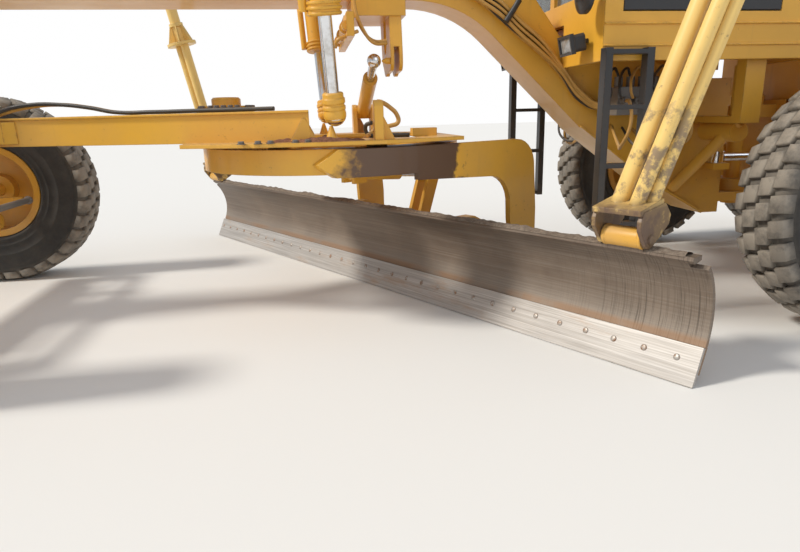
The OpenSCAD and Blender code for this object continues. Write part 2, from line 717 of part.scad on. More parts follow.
// Doors, one on each side, hinged at their rear edge
module door(s) {
    half = cab_w / 2;
    color(black) on_line() for (z = door_hinge_z)
        translate([door_rear_x, s * (half + 15), z]) difference() {
        union() {
            cylinder(r = 14, h = 60);
            block([0, s > 0 ? -15 - gap : -5, 0], [60, s > 0 ? 5 : 15 + gap, 60]);
        }
        translate([0, 0, -5]) cylinder(r = 8 + fit, h = 70);
    }
    color(black) on_line() difference() {
        block([door_rear_x + 4, s > 0 ? half - 45 : -half, cab_floor_z + 6],
            [door_front_x - 4, s > 0 ? half : -half + 45, cab_top_z - 100]);
        block([door_rear_x + 70, s * half - 60, 1780], [door_front_x - 60, s * half + 60, cab_top_z - 170]);
    }
    color(glass) on_line()
        block([door_rear_x + 70 + fit, s * (half - 22) - 4, 1780 + fit],
            [door_front_x - 60 - fit, s * (half - 22) + 4, cab_top_z - 170 - fit]);
}
module door_left() { door(1); }
module door_right() { door(-1); }

module steps() {
    y = cab_w / 2;
    color(black) on_line() for (s = [-1, 1]) {
        for (x = [-560, -330])
            block([x, s > 0 ? y + gap : -y - 60, 520], [x + 40, s > 0 ? y + 60 : -y - gap, 1460]);
        for (z = [540, 860, 1165, 1440])
            block([-560, s > 0 ? y + gap : -y - 60, z - 12], [-290, s > 0 ? y + 60 : -y - gap, z + 12]);
    }
}

// Work lamps: housing, bezel ring and bracket; [x, y, z, turn, tilt]
lamp_places = [
    [cab_front_x + 90, 520, 1500, 0, 12], [cab_front_x + 90, -520, 1500, 0, 12],
    [nose_x + 30, 140, 1700, 0, 4], [nose_x + 30, -140, 1700, 0, 4],
];
module lamps() {
    color(black) on_line() for (p = lamp_places)
        translate([p[0], p[1], p[2]]) rotate([0, p[4], p[3]]) difference() {
        union() {
            translate([-45, 0, 0]) rotate([90, 0, 90]) linear_extrude(75) polygon([
                [-62, -45], [62, -45], [75, -32], [75, 32], [62, 45], [-62, 45], [-75, 32], [-75, -32],
            ]);
            block([20, -82, -52], [42, 82, 52]);
            block([-89, -15, -12], [-44, 15, 12]);
        }
        block([30, -68, -38], [50, 68, 38]);
    }
}

// Convex mirrors on bent tubes at the cab's front corners
module mirrors() {
    color(black) on_line() for (s = [-1, 1]) translate([cab_front_x, s * 660, 1850]) {
        bar([5, 0, 0], [120, s * 40, 20], 12);
        bar([120, s * 40, 20], [120, s * 40, -60], 12);
        translate([120, s * 40, 20]) sphere(r = 15);
        translate([100, s * 40, -130]) rotate([0, 90, 0]) rotate_extrude()
            polygon([[0, 0], [95, 0], [95, 24], [78, 34], [40, 48], [0, 52]]);
    }
}

module valve_bank() {
    color(steel) on_line() for (s = [-1, 1]) {
            block([-1000, s > 0 ? frame_w / 2 + gap : -400, 1120],
                [-560, s > 0 ? 400 : -frame_w / 2 - gap, 1280]);
            for (i = [0 : 5]) translate([-970 + i * 75, s * 330, 1279]) cylinder(r = 24, h = 60);
            for (i = [0 : 5])
                translate([-970 + i * 75, s * 399, 1200]) rotate([s * -90, 0, 0]) cylinder(r = 22, h = 40);
    }
}

// Drawbar

beam_top_z = beam_z + beam_h;
beam_front = [ball_x - 400, 100];
beam_rear = [1228, 699];

module drawbar_ball() {
    color(steel) on_line() translate([ball_x, 0, ball_z]) {
        sphere(r = 75);
        pin_y(30, 228);
        translate([0, 0, -124]) cylinder(r = 28, h = 248);
    }
}

module drawbar() {
    slope = (beam_rear[1] - beam_front[1]) / (beam_front[0] - beam_rear[0]);
    plate_z = yoke_z + yoke_t;
    low = beam_z;
    color(yellow) on_line() {
        // Two beams that meet at the ball, each with a thin flange on top
        for (flange = [[0, beam_h, 0], [beam_h - 12, 12, 14]], s = [-1, 1])
            translate([0, 0, low + flange[0]]) linear_extrude(flange[1]) polygon([
                [beam_front[0] + 200, s * (beam_front[1] - 200 * slope + flange[2])],
                [beam_front[0], s * (beam_front[1] + flange[2])],
                [beam_rear[0], s * (beam_rear[1] + flange[2])], [beam_rear[0], s * (beam_rear[1] - beam_w)],
                [beam_front[0], s * (beam_front[1] - beam_w)], [beam_front[0] + 200, 0],
            ]);
        translate([0, 0, low]) linear_extrude(beam_h) polygon([
            [beam_front[0] + 201, 27], [beam_front[0] + 201, -27], [beam_front[0], -100],
            [beam_front[0] - 300, -210], [beam_front[0] - 300, 210], [beam_front[0], 100],
        ]);
        // Fork that holds the ball
        difference() {
            union() for (s = [-1, 1])
                block([beam_front[0] + 60, s > 0 ? 80 : -114, ball_z - 60],
                    [ball_x + 45, s > 0 ? 114 : -80, ball_z + 60]);
            translate([ball_x, 0, ball_z]) pin_y(30 + fit, 300);
        }
        block([beam_front[0] - 10, -110, ball_z - 60], [beam_front[0] + 61, 110, ball_z + 60]);
        // Yoke plate with its opening
        translate([0, 0, yoke_z]) linear_extrude(yoke_t) difference() {
            polygon([
                [1880, 600], [1500, 770], [1200, 800], [850, 780], [400, 560],
                [400, -560], [850, -780], [1200, -800], [1500, -770], [1880, -600],
            ]);
            polygon([[1450, 420], [920, 420], [890, 505], [630, 505], [560, 420], [560, -420],
                [1450, -420]]);
        }
        for (s = [-1, 1]) {
            // Gussets of the beams on the plate
            translate([0, s * (beam_rear[1] - 12), 0])
                side_plate([[1190, plate_z - 1], [1330, plate_z - 1], [1262, low + 115],
                    [1248, low + 115]], 20);
            // Stud that the lift rod's ball sits on
            translate([lift_low_x + 20, s * (lift_low_y - 20), plate_z - 1])
                cylinder(r1 = 34, r2 = 8, h = lift_low_z - 54.5 - plate_z + 1);
            // Lift posts with their rounded tops
            translate([lift_low_x - 238, s * lift_low_y, 0]) rotate([90, 0, 90]) linear_extrude(46)
                polygon(concat([[45, plate_z - 1]], arc([0, 1185], 45, 0, 180, 8), [[-45, plate_z - 1]]));
            translate([lift_low_x - 238, s * lift_low_y, 0])
                side_plate([[-62, plate_z - 1], [1, plate_z - 1], [1, 1160]], 20);
        }
        // Raised pad behind the plate's opening
        block([505, 255, plate_z - 1], [645, 345, plate_z + 44]);
        // Shoes that hold the circle by its inner edge
        for (a = [60, 110, 250, 300]) translate([circle_x, 0, 945]) rotate([0, 0, a]) intersection() {
            difference() {
                cylinder(r = circle_ri - fit, h = yoke_z - 944, $fn = 96);
                translate([0, 0, -1]) cylinder(r = circle_ri - 35, h = 60, $fn = 96);
            }
            translate([500, -60, -1]) cube([200, 120, yoke_z - 940]);
        }
        // Circle drive
        block([1480, -160, plate_z - 1], [1880, 160, 1190]);
        translate([drive_x, 0, 1189]) cylinder(r = 160, h = 30);
        translate([drive_x, 0, 1218]) cylinder(r = 84, h = 52);
        translate([drive_x, 0, 1269]) cylinder(r1 = 84, r2 = 74, h = 10);
        for (a = [30 : 60 : 330])
            translate([drive_x, 0, 1218]) rotate([0, 0, a]) translate([122, 0, 0]) cylinder(r = 14, h = 12);
        // Post of the centre-shift barrel, its two cheeks rounded over the pin
        for (x = [838 - 46 - 30, 838 + 46]) translate([x, -620, 0]) rotate([90, 0, 90]) linear_extrude(30)
            polygon(concat([[75, plate_z - 1]], arc([0, 1180], 52, 10, 170, 8), [[-75, plate_z - 1]]));
    }
}

drive_x = 1705;
module circle_frame() {
    color(yellow) on_circle() {
        difference() {
            translate([0, 0, circle_z]) cylinder(r = circle_r, h = circle_top_z - circle_z, $fn = 96);
            translate([0, 0, circle_z - 10]) cylinder(r = circle_ri, h = 200, $fn = 96);
        }
        // Arms: plates rolled on round the ring, then straight back and down to the tip pins
        for (s = [-1, 1]) {
            intersection() {
                translate([0, 0, circle_z - 14]) difference() {
                    cylinder(r = arm_y + arm_t, h = circle_top_z - circle_z + 12, $fn = 96);
                    translate([0, 0, -1]) cylinder(r = circle_r - 2, h = 200, $fn = 96);
                }
                rotate([90, 0, 0]) translate([0, 0, s > 0 ? -900 : 300]) linear_extrude(600) polygon([
                    [-6, 840], [-6, 1010], [400, 1010], [505, 925], [490, 905], [430, 858], [120, 840],
                ]);
            }
            translate([0, s * (arm_y + arm_t / 2), 0]) side_plate(concat(
                [[0, 822], [0, circle_top_z - 2]], arc([-790, circle_top_z - 172], 170, 90, 170, 6),
                [[-985, 560], [-985, 300]], arc([-tip_back, tip_z], 90, 200, 340, 6),
                [[-740, 520]], arc([-560, 620], 175, 172, 95, 6)
            ), arm_t);
        }
        // Cross beam that carries the tip cylinder
        block([-200, -circle_ri + 10, circle_z], [-100, circle_ri - 10, circle_z + 60]);
        for (y = [-73, 43]) block([-200, y, tip_top[1] - 60], [-100, y + 30, circle_z + 1]);
        // Tip pins
        for (s = [-1, 1]) translate([-tip_back, s * 660, tip_z]) pin_y(30, 280);
    }
}

tip_top = [-150, 800];
tip_low = [-810, 750];

rail_z = [215, 480];
module blade_carrier() {
    color(yellow) on_circle() {
        difference() {
            union() {
                for (s = [-1, 1]) translate([0, s * 560, 0]) side_plate([
                    [-tip_back - 60, tip_z - 60], [-tip_back - 60, tip_z + 60], [-640, 530], [-485, 530],
                    [-485, 165], [-640, 165],
                ], 80);
                // Barrel of the side-shift cylinder
                translate([-700, 140, 300]) pin_y(50, 1320);
            }
            for (s = [-1, 1]) translate([-tip_back, s * 560, tip_z]) pin_y(30 + fit, 100);
            translate([-700, 30, 300]) pin_y(25 + fit, 1460);
            // Slots for the moldboard's rails
            for (z = rail_z) block([-edge_back - 190 - gap, -700, z - 18 - gap], [-400, 700, z + 18 + gap]);
        }
        // Cross tube and the arms of the tip rod
        translate([-660, 0, 400]) pin_y(50, 1060);
        for (y = [-66, 36]) translate([0, y + 15, 0])
            side_plate([[-705, 370], [-615, 370], [-760, 790], [-860, 790]], 30);
        for (y = [-200, 400]) block([-740, y, 330], [-660, y + 40, 400]);
    }
}

// Direction up the cutting edge's face, and the one towards its back
edge_dir = [-0.4147, 0.9100];
edge_back_dir = [-0.9100, -0.4147];
// The moldboard's hollow section between two angles about its centre
module blade_section(r, t, from, to) {
    mid = (from + to) / 2;
    translate([blade_rx - edge_back, blade_rz]) intersection() {
        difference() {
            circle(r = r + t, $fn = 128);
            circle(r = r, $fn = 128);
        }
        polygon([[0, 0], 600 * [cos(from), sin(from)], 600 * [cos(mid), sin(mid)],
            600 * [cos(to), sin(to)]]);
    }
}
module blade_extrude(from_y, to_y) {
    translate([0, to_y, 0]) rotate([90, 0, 0]) linear_extrude(to_y - from_y) children();
}

module moldboard() {
    color([0.42, 0.36, 0.30]) on_circle() {
        blade_extrude(-blade_far + 75, blade_left - 75) blade_section(blade_r, blade_t, 128, 205.8);
        // Lower end plates
        for (y = [-blade_far, blade_left - 76])
            blade_extrude(y, y + 76) blade_section(blade_r, blade_t, 137, 205.8);
        blade_extrude(-blade_far, blade_left) {
            // Flat lip that the cutting edges are bolted to
            translate([-edge_back, edge_gap]) polygon([
                for (c = [[60, fit], [184, fit], [184, 18], [60, 18]])
                    c[0] * edge_dir + (edge_t + c[1]) * edge_back_dir,
            ]);
        }
        // Top stiffener
        blade_extrude(-blade_far + 45, blade_left - 45) polygon([
            [-edge_back + 10, 550], [-edge_back + 6, 566], [-edge_back - 66, 566],
            [-edge_back - 66, 545], [-edge_back - 8, 535],
        ]);
        // Side-shift rails
        for (rail = [[rail_z[0], 120], [rail_z[1], 80]]) blade_extrude(-1500, 1500) polygon([
            [-edge_back - rail[1], rail[0] - 18], [-edge_back - rail[1], rail[0] + 18],
            [-edge_back - 190, rail[0] + 18], [-edge_back - 190, rail[0] - 18],
        ]);
        // Rod of the side-shift cylinder with its bracket
        translate([-700, -747.5, 300]) pin_y(25, 1375);
        block([-740, -1435, 270], [-edge_back - 130, -1395, 330]);
    }
    // Bushings of the masts, welded along the top bar
    color(yellow) on_circle() for (y = [blade_left - mast_in_left, -blade_far + mast_in_right]) difference() {
        union() {
            translate([mast_x, y, mast_pin_z]) pin_y(45, 190);
            block([mast_x - 30, y - 95, 550], [mast_x + 12, y + 95, mast_pin_z]);
        }
        translate([mast_x, y, mast_pin_z]) pin_y(22 + fit, 300);
    }
}

module cutting_edge() {
    joint_y = (blade_left - blade_far) / 2;
    color(steel) on_circle() for (span = [[-blade_far, joint_y - 0.5], [joint_y + 0.5, blade_left]])
        blade_extrude(span[0], span[1]) translate([-edge_back, edge_gap]) polygon([
            [0, 0], edge_h * edge_dir, edge_h * edge_dir + edge_t * edge_back_dir,
            [-edge_t / 0.91, 0],
        ]);
}

// Mast: bracket that turns on a pin through the bushing, three tubes that lean
// out, a flange with gussets and a pole
mast_x = mast_fwd - edge_back;
module mast(s, y, splay, lean) {
    tubes = [[-18, -52, 37], [0, 40, 32], [-50, 79, 28]];
    foot_z = 138;
    aim = [-cos(splay) * sin(lean), s * sin(splay), cos(splay) * cos(lean)];
    color([0.86, 0.72, 0.36]) on_circle() translate([mast_x, y, mast_pin_z]) {
        pin_y(22, 250);
        for (e = [-1, 1]) translate([0, e * 108, 0]) side_plate(concat(
            arc([0, 0], 42, 215, 325, 6),
            [[85, 45], [88, 85], [67, 124], [-108, 147], [-161, 91], [-150, 50], [-75, 0]]), 20);
        translate([-2, 0, foot_z]) rotate([0, 11, 0]) cube([190, 230, 24], center = true);
        // Each tube is as long as it takes to reach the flange's plane
        for (t = tubes) let (reach = mast_len + (-23 - t[0]) * aim[0] + s * (15 - t[1]) * aim[1])
            translate([t[0], s * t[1], foot_z]) rotate([s * -splay, -lean, 0])
                cylinder(r = t[2], h = reach + 1);
        translate([-23, s * 15, foot_z]) rotate([s * -splay, -lean, 0]) translate([0, 0, mast_len]) {
            cylinder(r = 130, h = 26);
            translate([0, 0, 24]) cylinder(r = 48, h = pole_len + 170);
            for (a = [0 : 60 : 300]) rotate([0, 0, a])
                side_plate([[40, 20], [122, 20], [66, 170], [40, 170]], 12);
            translate([0, 0, 165]) cylinder(r = 62, h = 30);
            translate([0, 0, pole_len + 193]) cylinder(r = 60, h = 30);
        }
    }
}
module mast_left() { mast(1, blade_left - mast_in_left, mast_splay[0], mast_lean[0]); }
module mast_right() { mast(-1, -blade_far + mast_in_right, mast_splay[1], mast_lean[1]); }

// Lift cylinders

function lift_low(s) = [lift_low_x, s * lift_low_y, lift_low_z];
function lift_top(s) = [lift_top_x, s * lift_top_y, lift_top_z];

module lift_barrel(s) {
    v = lift_top(s) - lift_low(s);
    color(yellow) on_line() difference() {
        union() {
            along(lift_low(s), lift_top(s)) {
                translate([0, 0, 450]) cylinder(r = lift_barrel_r, h = 1150);
                translate([0, 0, 450]) cylinder(r = lift_barrel_r + 12, h = 60);
                translate([0, 0, 1600]) cylinder(r = lift_barrel_r + 8, h = 40);
                // Oil pipe along the barrel, on its front side
                rotate([0, 0, -atan2(v[1], v[0])]) {
                    translate([96, 0, 470]) cylinder(r = 20, h = 350);
                    for (z = [475, 780]) translate([40, -12, z]) cube([60, 24, 30]);
                }
            }
            translate(lift_top(s)) pin_x(35, 290);
        }
        along(lift_low(s), lift_top(s)) translate([0, 0, 400]) cylinder(r = lift_rod_r + fit, h = 1180);
    }
}
module lift_rod(s) {
    color(chrome) on_line() {
        along(lift_low(s), lift_top(s)) cylinder(r = lift_rod_r, h = 1090);
        translate(lift_low(s)) sphere(r = 57);
        along(lift_low(s), lift_top(s)) translate([0, 0, 20]) cylinder(r = 50, h = 60);
    }
}
module lift_barrel_left() { lift_barrel(1); }
module lift_barrel_right() { lift_barrel(-1); }
module lift_rod_left() { lift_rod(1); }
module lift_rod_right() { lift_rod(-1); }

// Centre-shift cylinder: its rod hangs from the saddle, its barrel is on the drawbar

shift_top = [838, 200, 1455];
shift_low = [838, -620, 1180];
module shift_rod() {
    color(chrome) on_line() {
        along(shift_top, shift_low) cylinder(r = 24, h = 620);
        translate(shift_top) sphere(r = 40);
    }
}
module shift_barrel() {
    color(yellow) on_line() difference() {
        union() {
            along(shift_top, shift_low) translate([0, 0, 250]) cylinder(r = 45, h = 600);
            translate(shift_low) pin_x(45, 91.4);
        }
        along(shift_top, shift_low) translate([0, 0, 240]) cylinder(r = 24 + fit, h = 560);
    }
}

// Tip cylinder between circle and carrier
function tip_p() = [tip_top[0], 0, tip_top[1]];
function tip_q() = [tip_low[0], 0, tip_low[1]];
module tip_barrel() {
    color(yellow) on_circle() difference() {
        union() {
            along(tip_p(), tip_q()) cylinder(r = 42, h = 370);
            translate(tip_p()) pin_y(45, 85.4);
        }
        along(tip_p(), tip_q()) translate([0, 0, 60]) cylinder(r = 24 + fit, h = 400);
    }
}
module tip_rod() {
    color(chrome) on_circle() {
        along(tip_p(), tip_q()) translate([0, 0, 320]) cylinder(r = 24, h = norm(tip_q() - tip_p()) - 320);
        translate(tip_q()) pin_y(36, 71.4);
    }
}

rear_frame();
tandem_cases();
engine_block();
hood();
radiator_grille();
exhaust_stack();
tyre_rear_left_1();
tyre_rear_left_2();
tyre_rear_right_1();
tyre_rear_right_2();
rim_rear_left_1();
rim_rear_left_2();
rim_rear_right_1();
rim_rear_right_2();
front_frame();
front_axle();
saddle();
cab_shell();
cab_glass();
cab_interior();
steps();
lamps();
mirrors();
valve_bank();
door_left();
door_right();
lean_bracket_left();
lean_bracket_right();
knuckle_left();
knuckle_right();
tyre_front_left();
tyre_front_right();
rim_front_left();
rim_front_right();
lean_bar();
tie_rod();
tie_rod_end();
steering_barrel();
steering_rod();
drawbar_ball();
drawbar();
circle_frame();
blade_carrier();
moldboard();
cutting_edge();
mast_left();
mast_right();
lift_barrel_left();
lift_barrel_right();
lift_rod_left();
lift_rod_right();
shift_rod();
shift_barrel();
tip_barrel();
tip_rod();
hinge_barrel_left();
hinge_barrel_right();
hinge_rod_left();
hinge_rod_right();
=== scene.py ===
import math

import bmesh
import bpy
from mathutils import Matrix, Vector, noise


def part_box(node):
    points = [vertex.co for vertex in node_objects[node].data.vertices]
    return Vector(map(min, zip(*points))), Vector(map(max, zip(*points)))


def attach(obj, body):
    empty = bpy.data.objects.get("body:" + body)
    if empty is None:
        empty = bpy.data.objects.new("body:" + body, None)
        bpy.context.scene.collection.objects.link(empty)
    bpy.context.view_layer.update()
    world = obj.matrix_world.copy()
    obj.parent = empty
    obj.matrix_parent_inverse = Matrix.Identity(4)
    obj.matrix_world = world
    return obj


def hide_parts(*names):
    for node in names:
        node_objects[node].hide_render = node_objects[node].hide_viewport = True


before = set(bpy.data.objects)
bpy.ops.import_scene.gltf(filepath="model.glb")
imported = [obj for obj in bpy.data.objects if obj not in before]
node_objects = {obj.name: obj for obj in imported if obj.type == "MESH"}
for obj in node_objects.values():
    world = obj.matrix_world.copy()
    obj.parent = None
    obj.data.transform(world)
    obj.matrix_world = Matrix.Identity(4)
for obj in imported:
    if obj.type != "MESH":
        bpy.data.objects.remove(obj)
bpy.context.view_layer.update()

# The viewpoint: at eye height to the machine's left, in front of the blade,
# looking slightly down and back along the moldboard. The eye, the angles and the
# focal length were fitted to the blade, the tyres and the arch.
camera_eye = Vector((1.238, 4.248, 1.156))
camera_yaw, camera_pitch, camera_roll = -0.143, 0.264, -0.026
photo_width, focal_pixels = 800, 596.9
sensor_mm = 36

forward = Vector((math.sin(camera_yaw) * math.cos(camera_pitch),
                  -math.cos(camera_yaw) * math.cos(camera_pitch), -math.sin(camera_pitch)))
level_right = forward.cross(Vector((0, 0, 1))).normalized()
level_up = level_right.cross(forward)
right = level_right * math.cos(camera_roll) + level_up * math.sin(camera_roll)
up = level_up * math.cos(camera_roll) - level_right * math.sin(camera_roll)
camera_data = bpy.data.cameras.new("viewpoint")
camera_data.sensor_width = sensor_mm
camera_data.lens = focal_pixels / photo_width * sensor_mm
camera_data.clip_end = 200
viewpoint = bpy.data.objects.new("viewpoint", camera_data)
viewpoint.matrix_world = Matrix((
    (right.x, up.x, -forward.x, camera_eye.x),
    (right.y, up.y, -forward.y, camera_eye.y),
    (right.z, up.z, -forward.z, camera_eye.z),
    (0, 0, 0, 1)))
bpy.context.scene.collection.objects.link(viewpoint)
bpy.context.scene.camera = viewpoint
bpy.context.scene.view_settings.view_transform = "Standard"


# Shader nodes are laid out by these. A value given as a socket is linked,
# anything else is set on the input itself.
def wire(tree, value, socket):
    if isinstance(value, bpy.types.NodeSocket):
        tree.links.new(value, socket)
    else:
        socket.default_value = value


def lay(tree, kind, inputs=None, **settings):
    node = tree.nodes.new(kind)
    for name, value in settings.items():
        setattr(node, name, value)
    for name, value in (inputs or {}).items():
        wire(tree, value, node.inputs[name])
    return node


def object_place(tree):
    return lay(tree, "ShaderNodeTexCoord").outputs["Object"]


def noise_at(tree, vector, scale, detail=4.0, roughness=0.6, distortion=0.0):
    return lay(tree, "ShaderNodeTexNoise", {"Vector": vector, "Scale": scale, "Detail": detail,
               "Roughness": roughness, "Distortion": distortion}).outputs["Fac"]


def ramp(tree, value, low, high, to_low=0.0, to_high=1.0):
    return lay(tree, "ShaderNodeMapRange", {"Value": value, "From Min": low, "From Max": high,
               "To Min": to_low, "To Max": to_high}).outputs["Result"]


def maths(tree, operation, a, b=0.0, clamp=False):
    node = lay(tree, "ShaderNodeMath", operation=operation, use_clamp=clamp)
    wire(tree, a, node.inputs[0])
    wire(tree, b, node.inputs[1])
    return node.outputs[0]


def tint(tree, mask, a, b, blend="MIX"):
    node = lay(tree, "ShaderNodeMix", data_type="RGBA", blend_type=blend)
    wire(tree, mask, node.inputs[0])
    wire(tree, a, node.inputs[6])
    wire(tree, b, node.inputs[7])
    return node.outputs[2]


def stretched(tree, vector, scale, turn=0.0):
    return lay(tree, "ShaderNodeMapping", {"Vector": vector, "Rotation": (0, 0, turn),
               "Scale": scale}).outputs["Vector"]


def bumped(tree, height, strength, distance):
    return lay(tree, "ShaderNodeBump", {"Height": height, "Strength": strength,
               "Distance": distance}).outputs["Normal"]


def effect_group(name, inputs, outputs):
    tree = bpy.data.node_groups.new(name, "ShaderNodeTree")
    for label, kind, value in inputs:
        socket = tree.interface.new_socket(label, in_out="INPUT", socket_type=kind)
        socket.default_value = value
    for label, kind in outputs:
        tree.interface.new_socket(label, in_out="OUTPUT", socket_type=kind)
    given = tree.nodes.new("NodeGroupInput").outputs
    made = tree.nodes.new("NodeGroupOutput").inputs
    return tree, given, made


def place_group(tree, group, inputs):
    node = tree.nodes.new("ShaderNodeGroup")
    node.node_tree = group
    for name, value in inputs.items():
        wire(tree, value, node.inputs[name])
    return node.outputs


def finish_material(name, **constants):
    material = bpy.data.materials.new(name)
    material.use_nodes = True
    tree = material.node_tree
    shader = tree.nodes["Principled BSDF"]
    for label, value in constants.items():
        shader.inputs[label.replace("_", " ")].default_value = value
    return material, tree, shader.inputs


def dress(material, *names):
    for name in names:
        slots = node_objects[name].material_slots
        for i in range(len(slots)):
            slots[i].material = material


# Field wear that every painted piece shares: sun-mottled colour, dust that
# settles on upward faces and low down, chips on the edges, and dirt streaks.
# Edges are rounded a little by the normal alone, as a welded plate's are.
wear, given, made = effect_group("field_wear", [
    ("Paint", "NodeSocketColor", (0.8, 0.4, 0.03, 1)), ("Dust", "NodeSocketColor", (0.5, 0.4, 0.3, 1)),
    ("Bare", "NodeSocketColor", (0.1, 0.06, 0.04, 1)), ("Dust Level", "NodeSocketFloat", 0.5),
    ("Chip Level", "NodeSocketFloat", 0.5), ("Dust Height", "NodeSocketFloat", 1.2)],
    [("Colour", "NodeSocketColor"), ("Roughness", "NodeSocketFloat"), ("Normal", "NodeSocketVector")])
place = object_place(wear)
surface = lay(wear, "ShaderNodeNewGeometry").outputs
soft_edge = lay(wear, "ShaderNodeBevel", {"Radius": 0.008}, samples=4).outputs["Normal"]
same = lay(wear, "ShaderNodeVectorMath", {0: soft_edge, 1: surface["Normal"]}, operation="DOT_PRODUCT")
edge = ramp(wear, same.outputs["Value"], 0.995, 0.90)
mottle = noise_at(wear, place, 2.2, 5.0, 0.62)
fine = noise_at(wear, place, 34.0, 6.0, 0.7)
streak = noise_at(wear, stretched(wear, place, (26, 26, 1.6)), 1.0, 3.0)
height = lay(wear, "ShaderNodeSeparateXYZ", {"Vector": place}).outputs["Z"]
facing = lay(wear, "ShaderNodeSeparateXYZ", {"Vector": surface["Normal"]}).outputs["Z"]
low_down = ramp(wear, maths(wear, "SUBTRACT", height, given["Dust Height"]), 0.3, -1.0)
settled = ramp(wear, facing, 0.35, 0.98)
blown = ramp(wear, mottle, 0.36, 0.66)
dust = maths(wear, "ADD", maths(wear, "MULTIPLY", low_down, 0.55), maths(wear, "MULTIPLY", settled, 0.7))
dust = maths(wear, "MULTIPLY", maths(wear, "MULTIPLY", dust, blown), given["Dust Level"], True)
speck = maths(wear, "MULTIPLY", ramp(wear, fine, 0.62, 0.70), ramp(wear, mottle, 0.42, 0.62))
worn = maths(wear, "MULTIPLY", edge, ramp(wear, fine, 0.44, 0.60))
chips = maths(wear, "MULTIPLY", maths(wear, "ADD", worn, speck, True), given["Chip Level"], True)
faded = ramp(wear, mottle, 0.35, 0.7, 0.0, 0.16)
shade = tint(wear, faded, given["Paint"], (0.40, 0.22, 0.06, 1), "MULTIPLY")
shade = tint(wear, ramp(wear, streak, 0.60, 0.75, 0.0, 0.10), shade, (0.22, 0.13, 0.07, 1))
shade = tint(wear, dust, shade, given["Dust"])
wire(wear, tint(wear, chips, shade, given["Bare"]), made["Colour"])
rough = maths(wear, "ADD", ramp(wear, dust, 0.0, 0.6, 0.0, 0.35), ramp(wear, mottle, 0.3, 0.7, 0.30, 0.46))
wire(wear, maths(wear, "ADD", rough, maths(wear, "MULTIPLY", chips, 0.2), True), made["Roughness"])
relief = maths(wear, "SUBTRACT", maths(wear, "MULTIPLY", fine, 0.35), chips)
wire(wear, lay(wear, "ShaderNodeBump", {"Height": relief, "Strength": 0.12, "Distance": 0.004,
     "Normal": soft_edge}).outputs["Normal"], made["Normal"])


def painted(name, paint, dust_level, chip_level, dust_height=1.2, bare=(0.10, 0.055, 0.035, 1), **constants):
    material, tree, shader = finish_material(name, **constants)
    out = place_group(tree, wear, {
        "Paint": paint, "Dust": (0.46, 0.36, 0.25, 1), "Bare": bare, "Dust Level": dust_level,
        "Chip Level": chip_level, "Dust Height": dust_height})
    wire(tree, out["Colour"], shader["Base Color"])
    wire(tree, out["Roughness"], shader["Roughness"])
    wire(tree, out["Normal"], shader["Normal"])
    return material


# Frame, axle, tandems, hood and cab shell: welded and bent steel plate in warm
# construction yellow, faded by the sun and dusty towards the ground.
frame_paint = painted("frame_paint", (0.78, 0.415, 0.045, 1), 0.50, 0.45, Coat_Weight=0.15)
dress(frame_paint, "rear_frame", "tandem_cases", "hood", "front_frame", "front_axle", "saddle",
      "cab_shell", "lean_bracket_left", "lean_bracket_right", "knuckle_left", "knuckle_right",
      "lean_bar", "lift_barrel_left", "lift_barrel_right", "shift_barrel", "hinge_barrel_left",
      "hinge_barrel_right", "steering_barrel", "drawbar", "blade_carrier", "tip_barrel")
rim_paint = painted("rim_paint", (0.66, 0.34, 0.04, 1), 0.9, 0.7)
dress(rim_paint, *[n for n in node_objects if n.startswith("rim_")])

# The two masts: three welded steel tubes each on a pinned bracket, in a paler
# cream yellow that has faded more than the frame's.
mast_paint = painted("mast_paint", (0.86, 0.60, 0.20, 1), 0.30, 0.55)
dress(mast_paint, "mast_left", "mast_right")

# Black and bare pieces: ladders, lamps, mirrors, doors, grille, exhaust and cab
# fittings in worn black paint, and the castings in dusty bare iron.
black_paint = painted("black_paint", (0.028, 0.028, 0.030, 1), 0.5, 0.6, bare=(0.16, 0.09, 0.06, 1))
dress(black_paint, "steps", "lamps", "mirrors", "door_left", "door_right", "exhaust_stack",
      "radiator_grille", "cab_interior")
iron = painted("cast_iron", (0.16, 0.15, 0.14, 1), 0.6, 0.5)
dress(iron, "engine_block", "valve_bank", "tie_rod", "tie_rod_end", "drawbar_ball")

# Moldboard: hot-rolled plate scoured by the soil that rolls along it, brown in
# its hollow, with fine scratches along its length.
circle_turn = math.radians(-31.1)
scoured, tree, shader = finish_material("scoured_blade", Metallic=0.35)
spot = object_place(tree)
along_blade = stretched(tree, spot, (1, 1, 1), circle_turn)
lines = noise_at(tree, stretched(tree, along_blade, (30, 1.2, 120)), 1.0, 4.0, 0.7)
clouds = noise_at(tree, along_blade, 1.7, 5.0, 0.6, 0.4)
level = lay(tree, "ShaderNodeSeparateXYZ", {"Vector": spot}).outputs["Z"]
polished = ramp(tree, level, 0.30, 0.12)
brown = tint(tree, ramp(tree, clouds, 0.35, 0.65), (0.135, 0.098, 0.072, 1), (0.215, 0.165, 0.125, 1))
brown = tint(tree, maths(tree, "MULTIPLY", polished, 0.55), brown, (0.40, 0.36, 0.31, 1))
brown = tint(tree, ramp(tree, lines, 0.45, 0.75, 0.0, 0.30), brown, (0.42, 0.37, 0.31, 1))
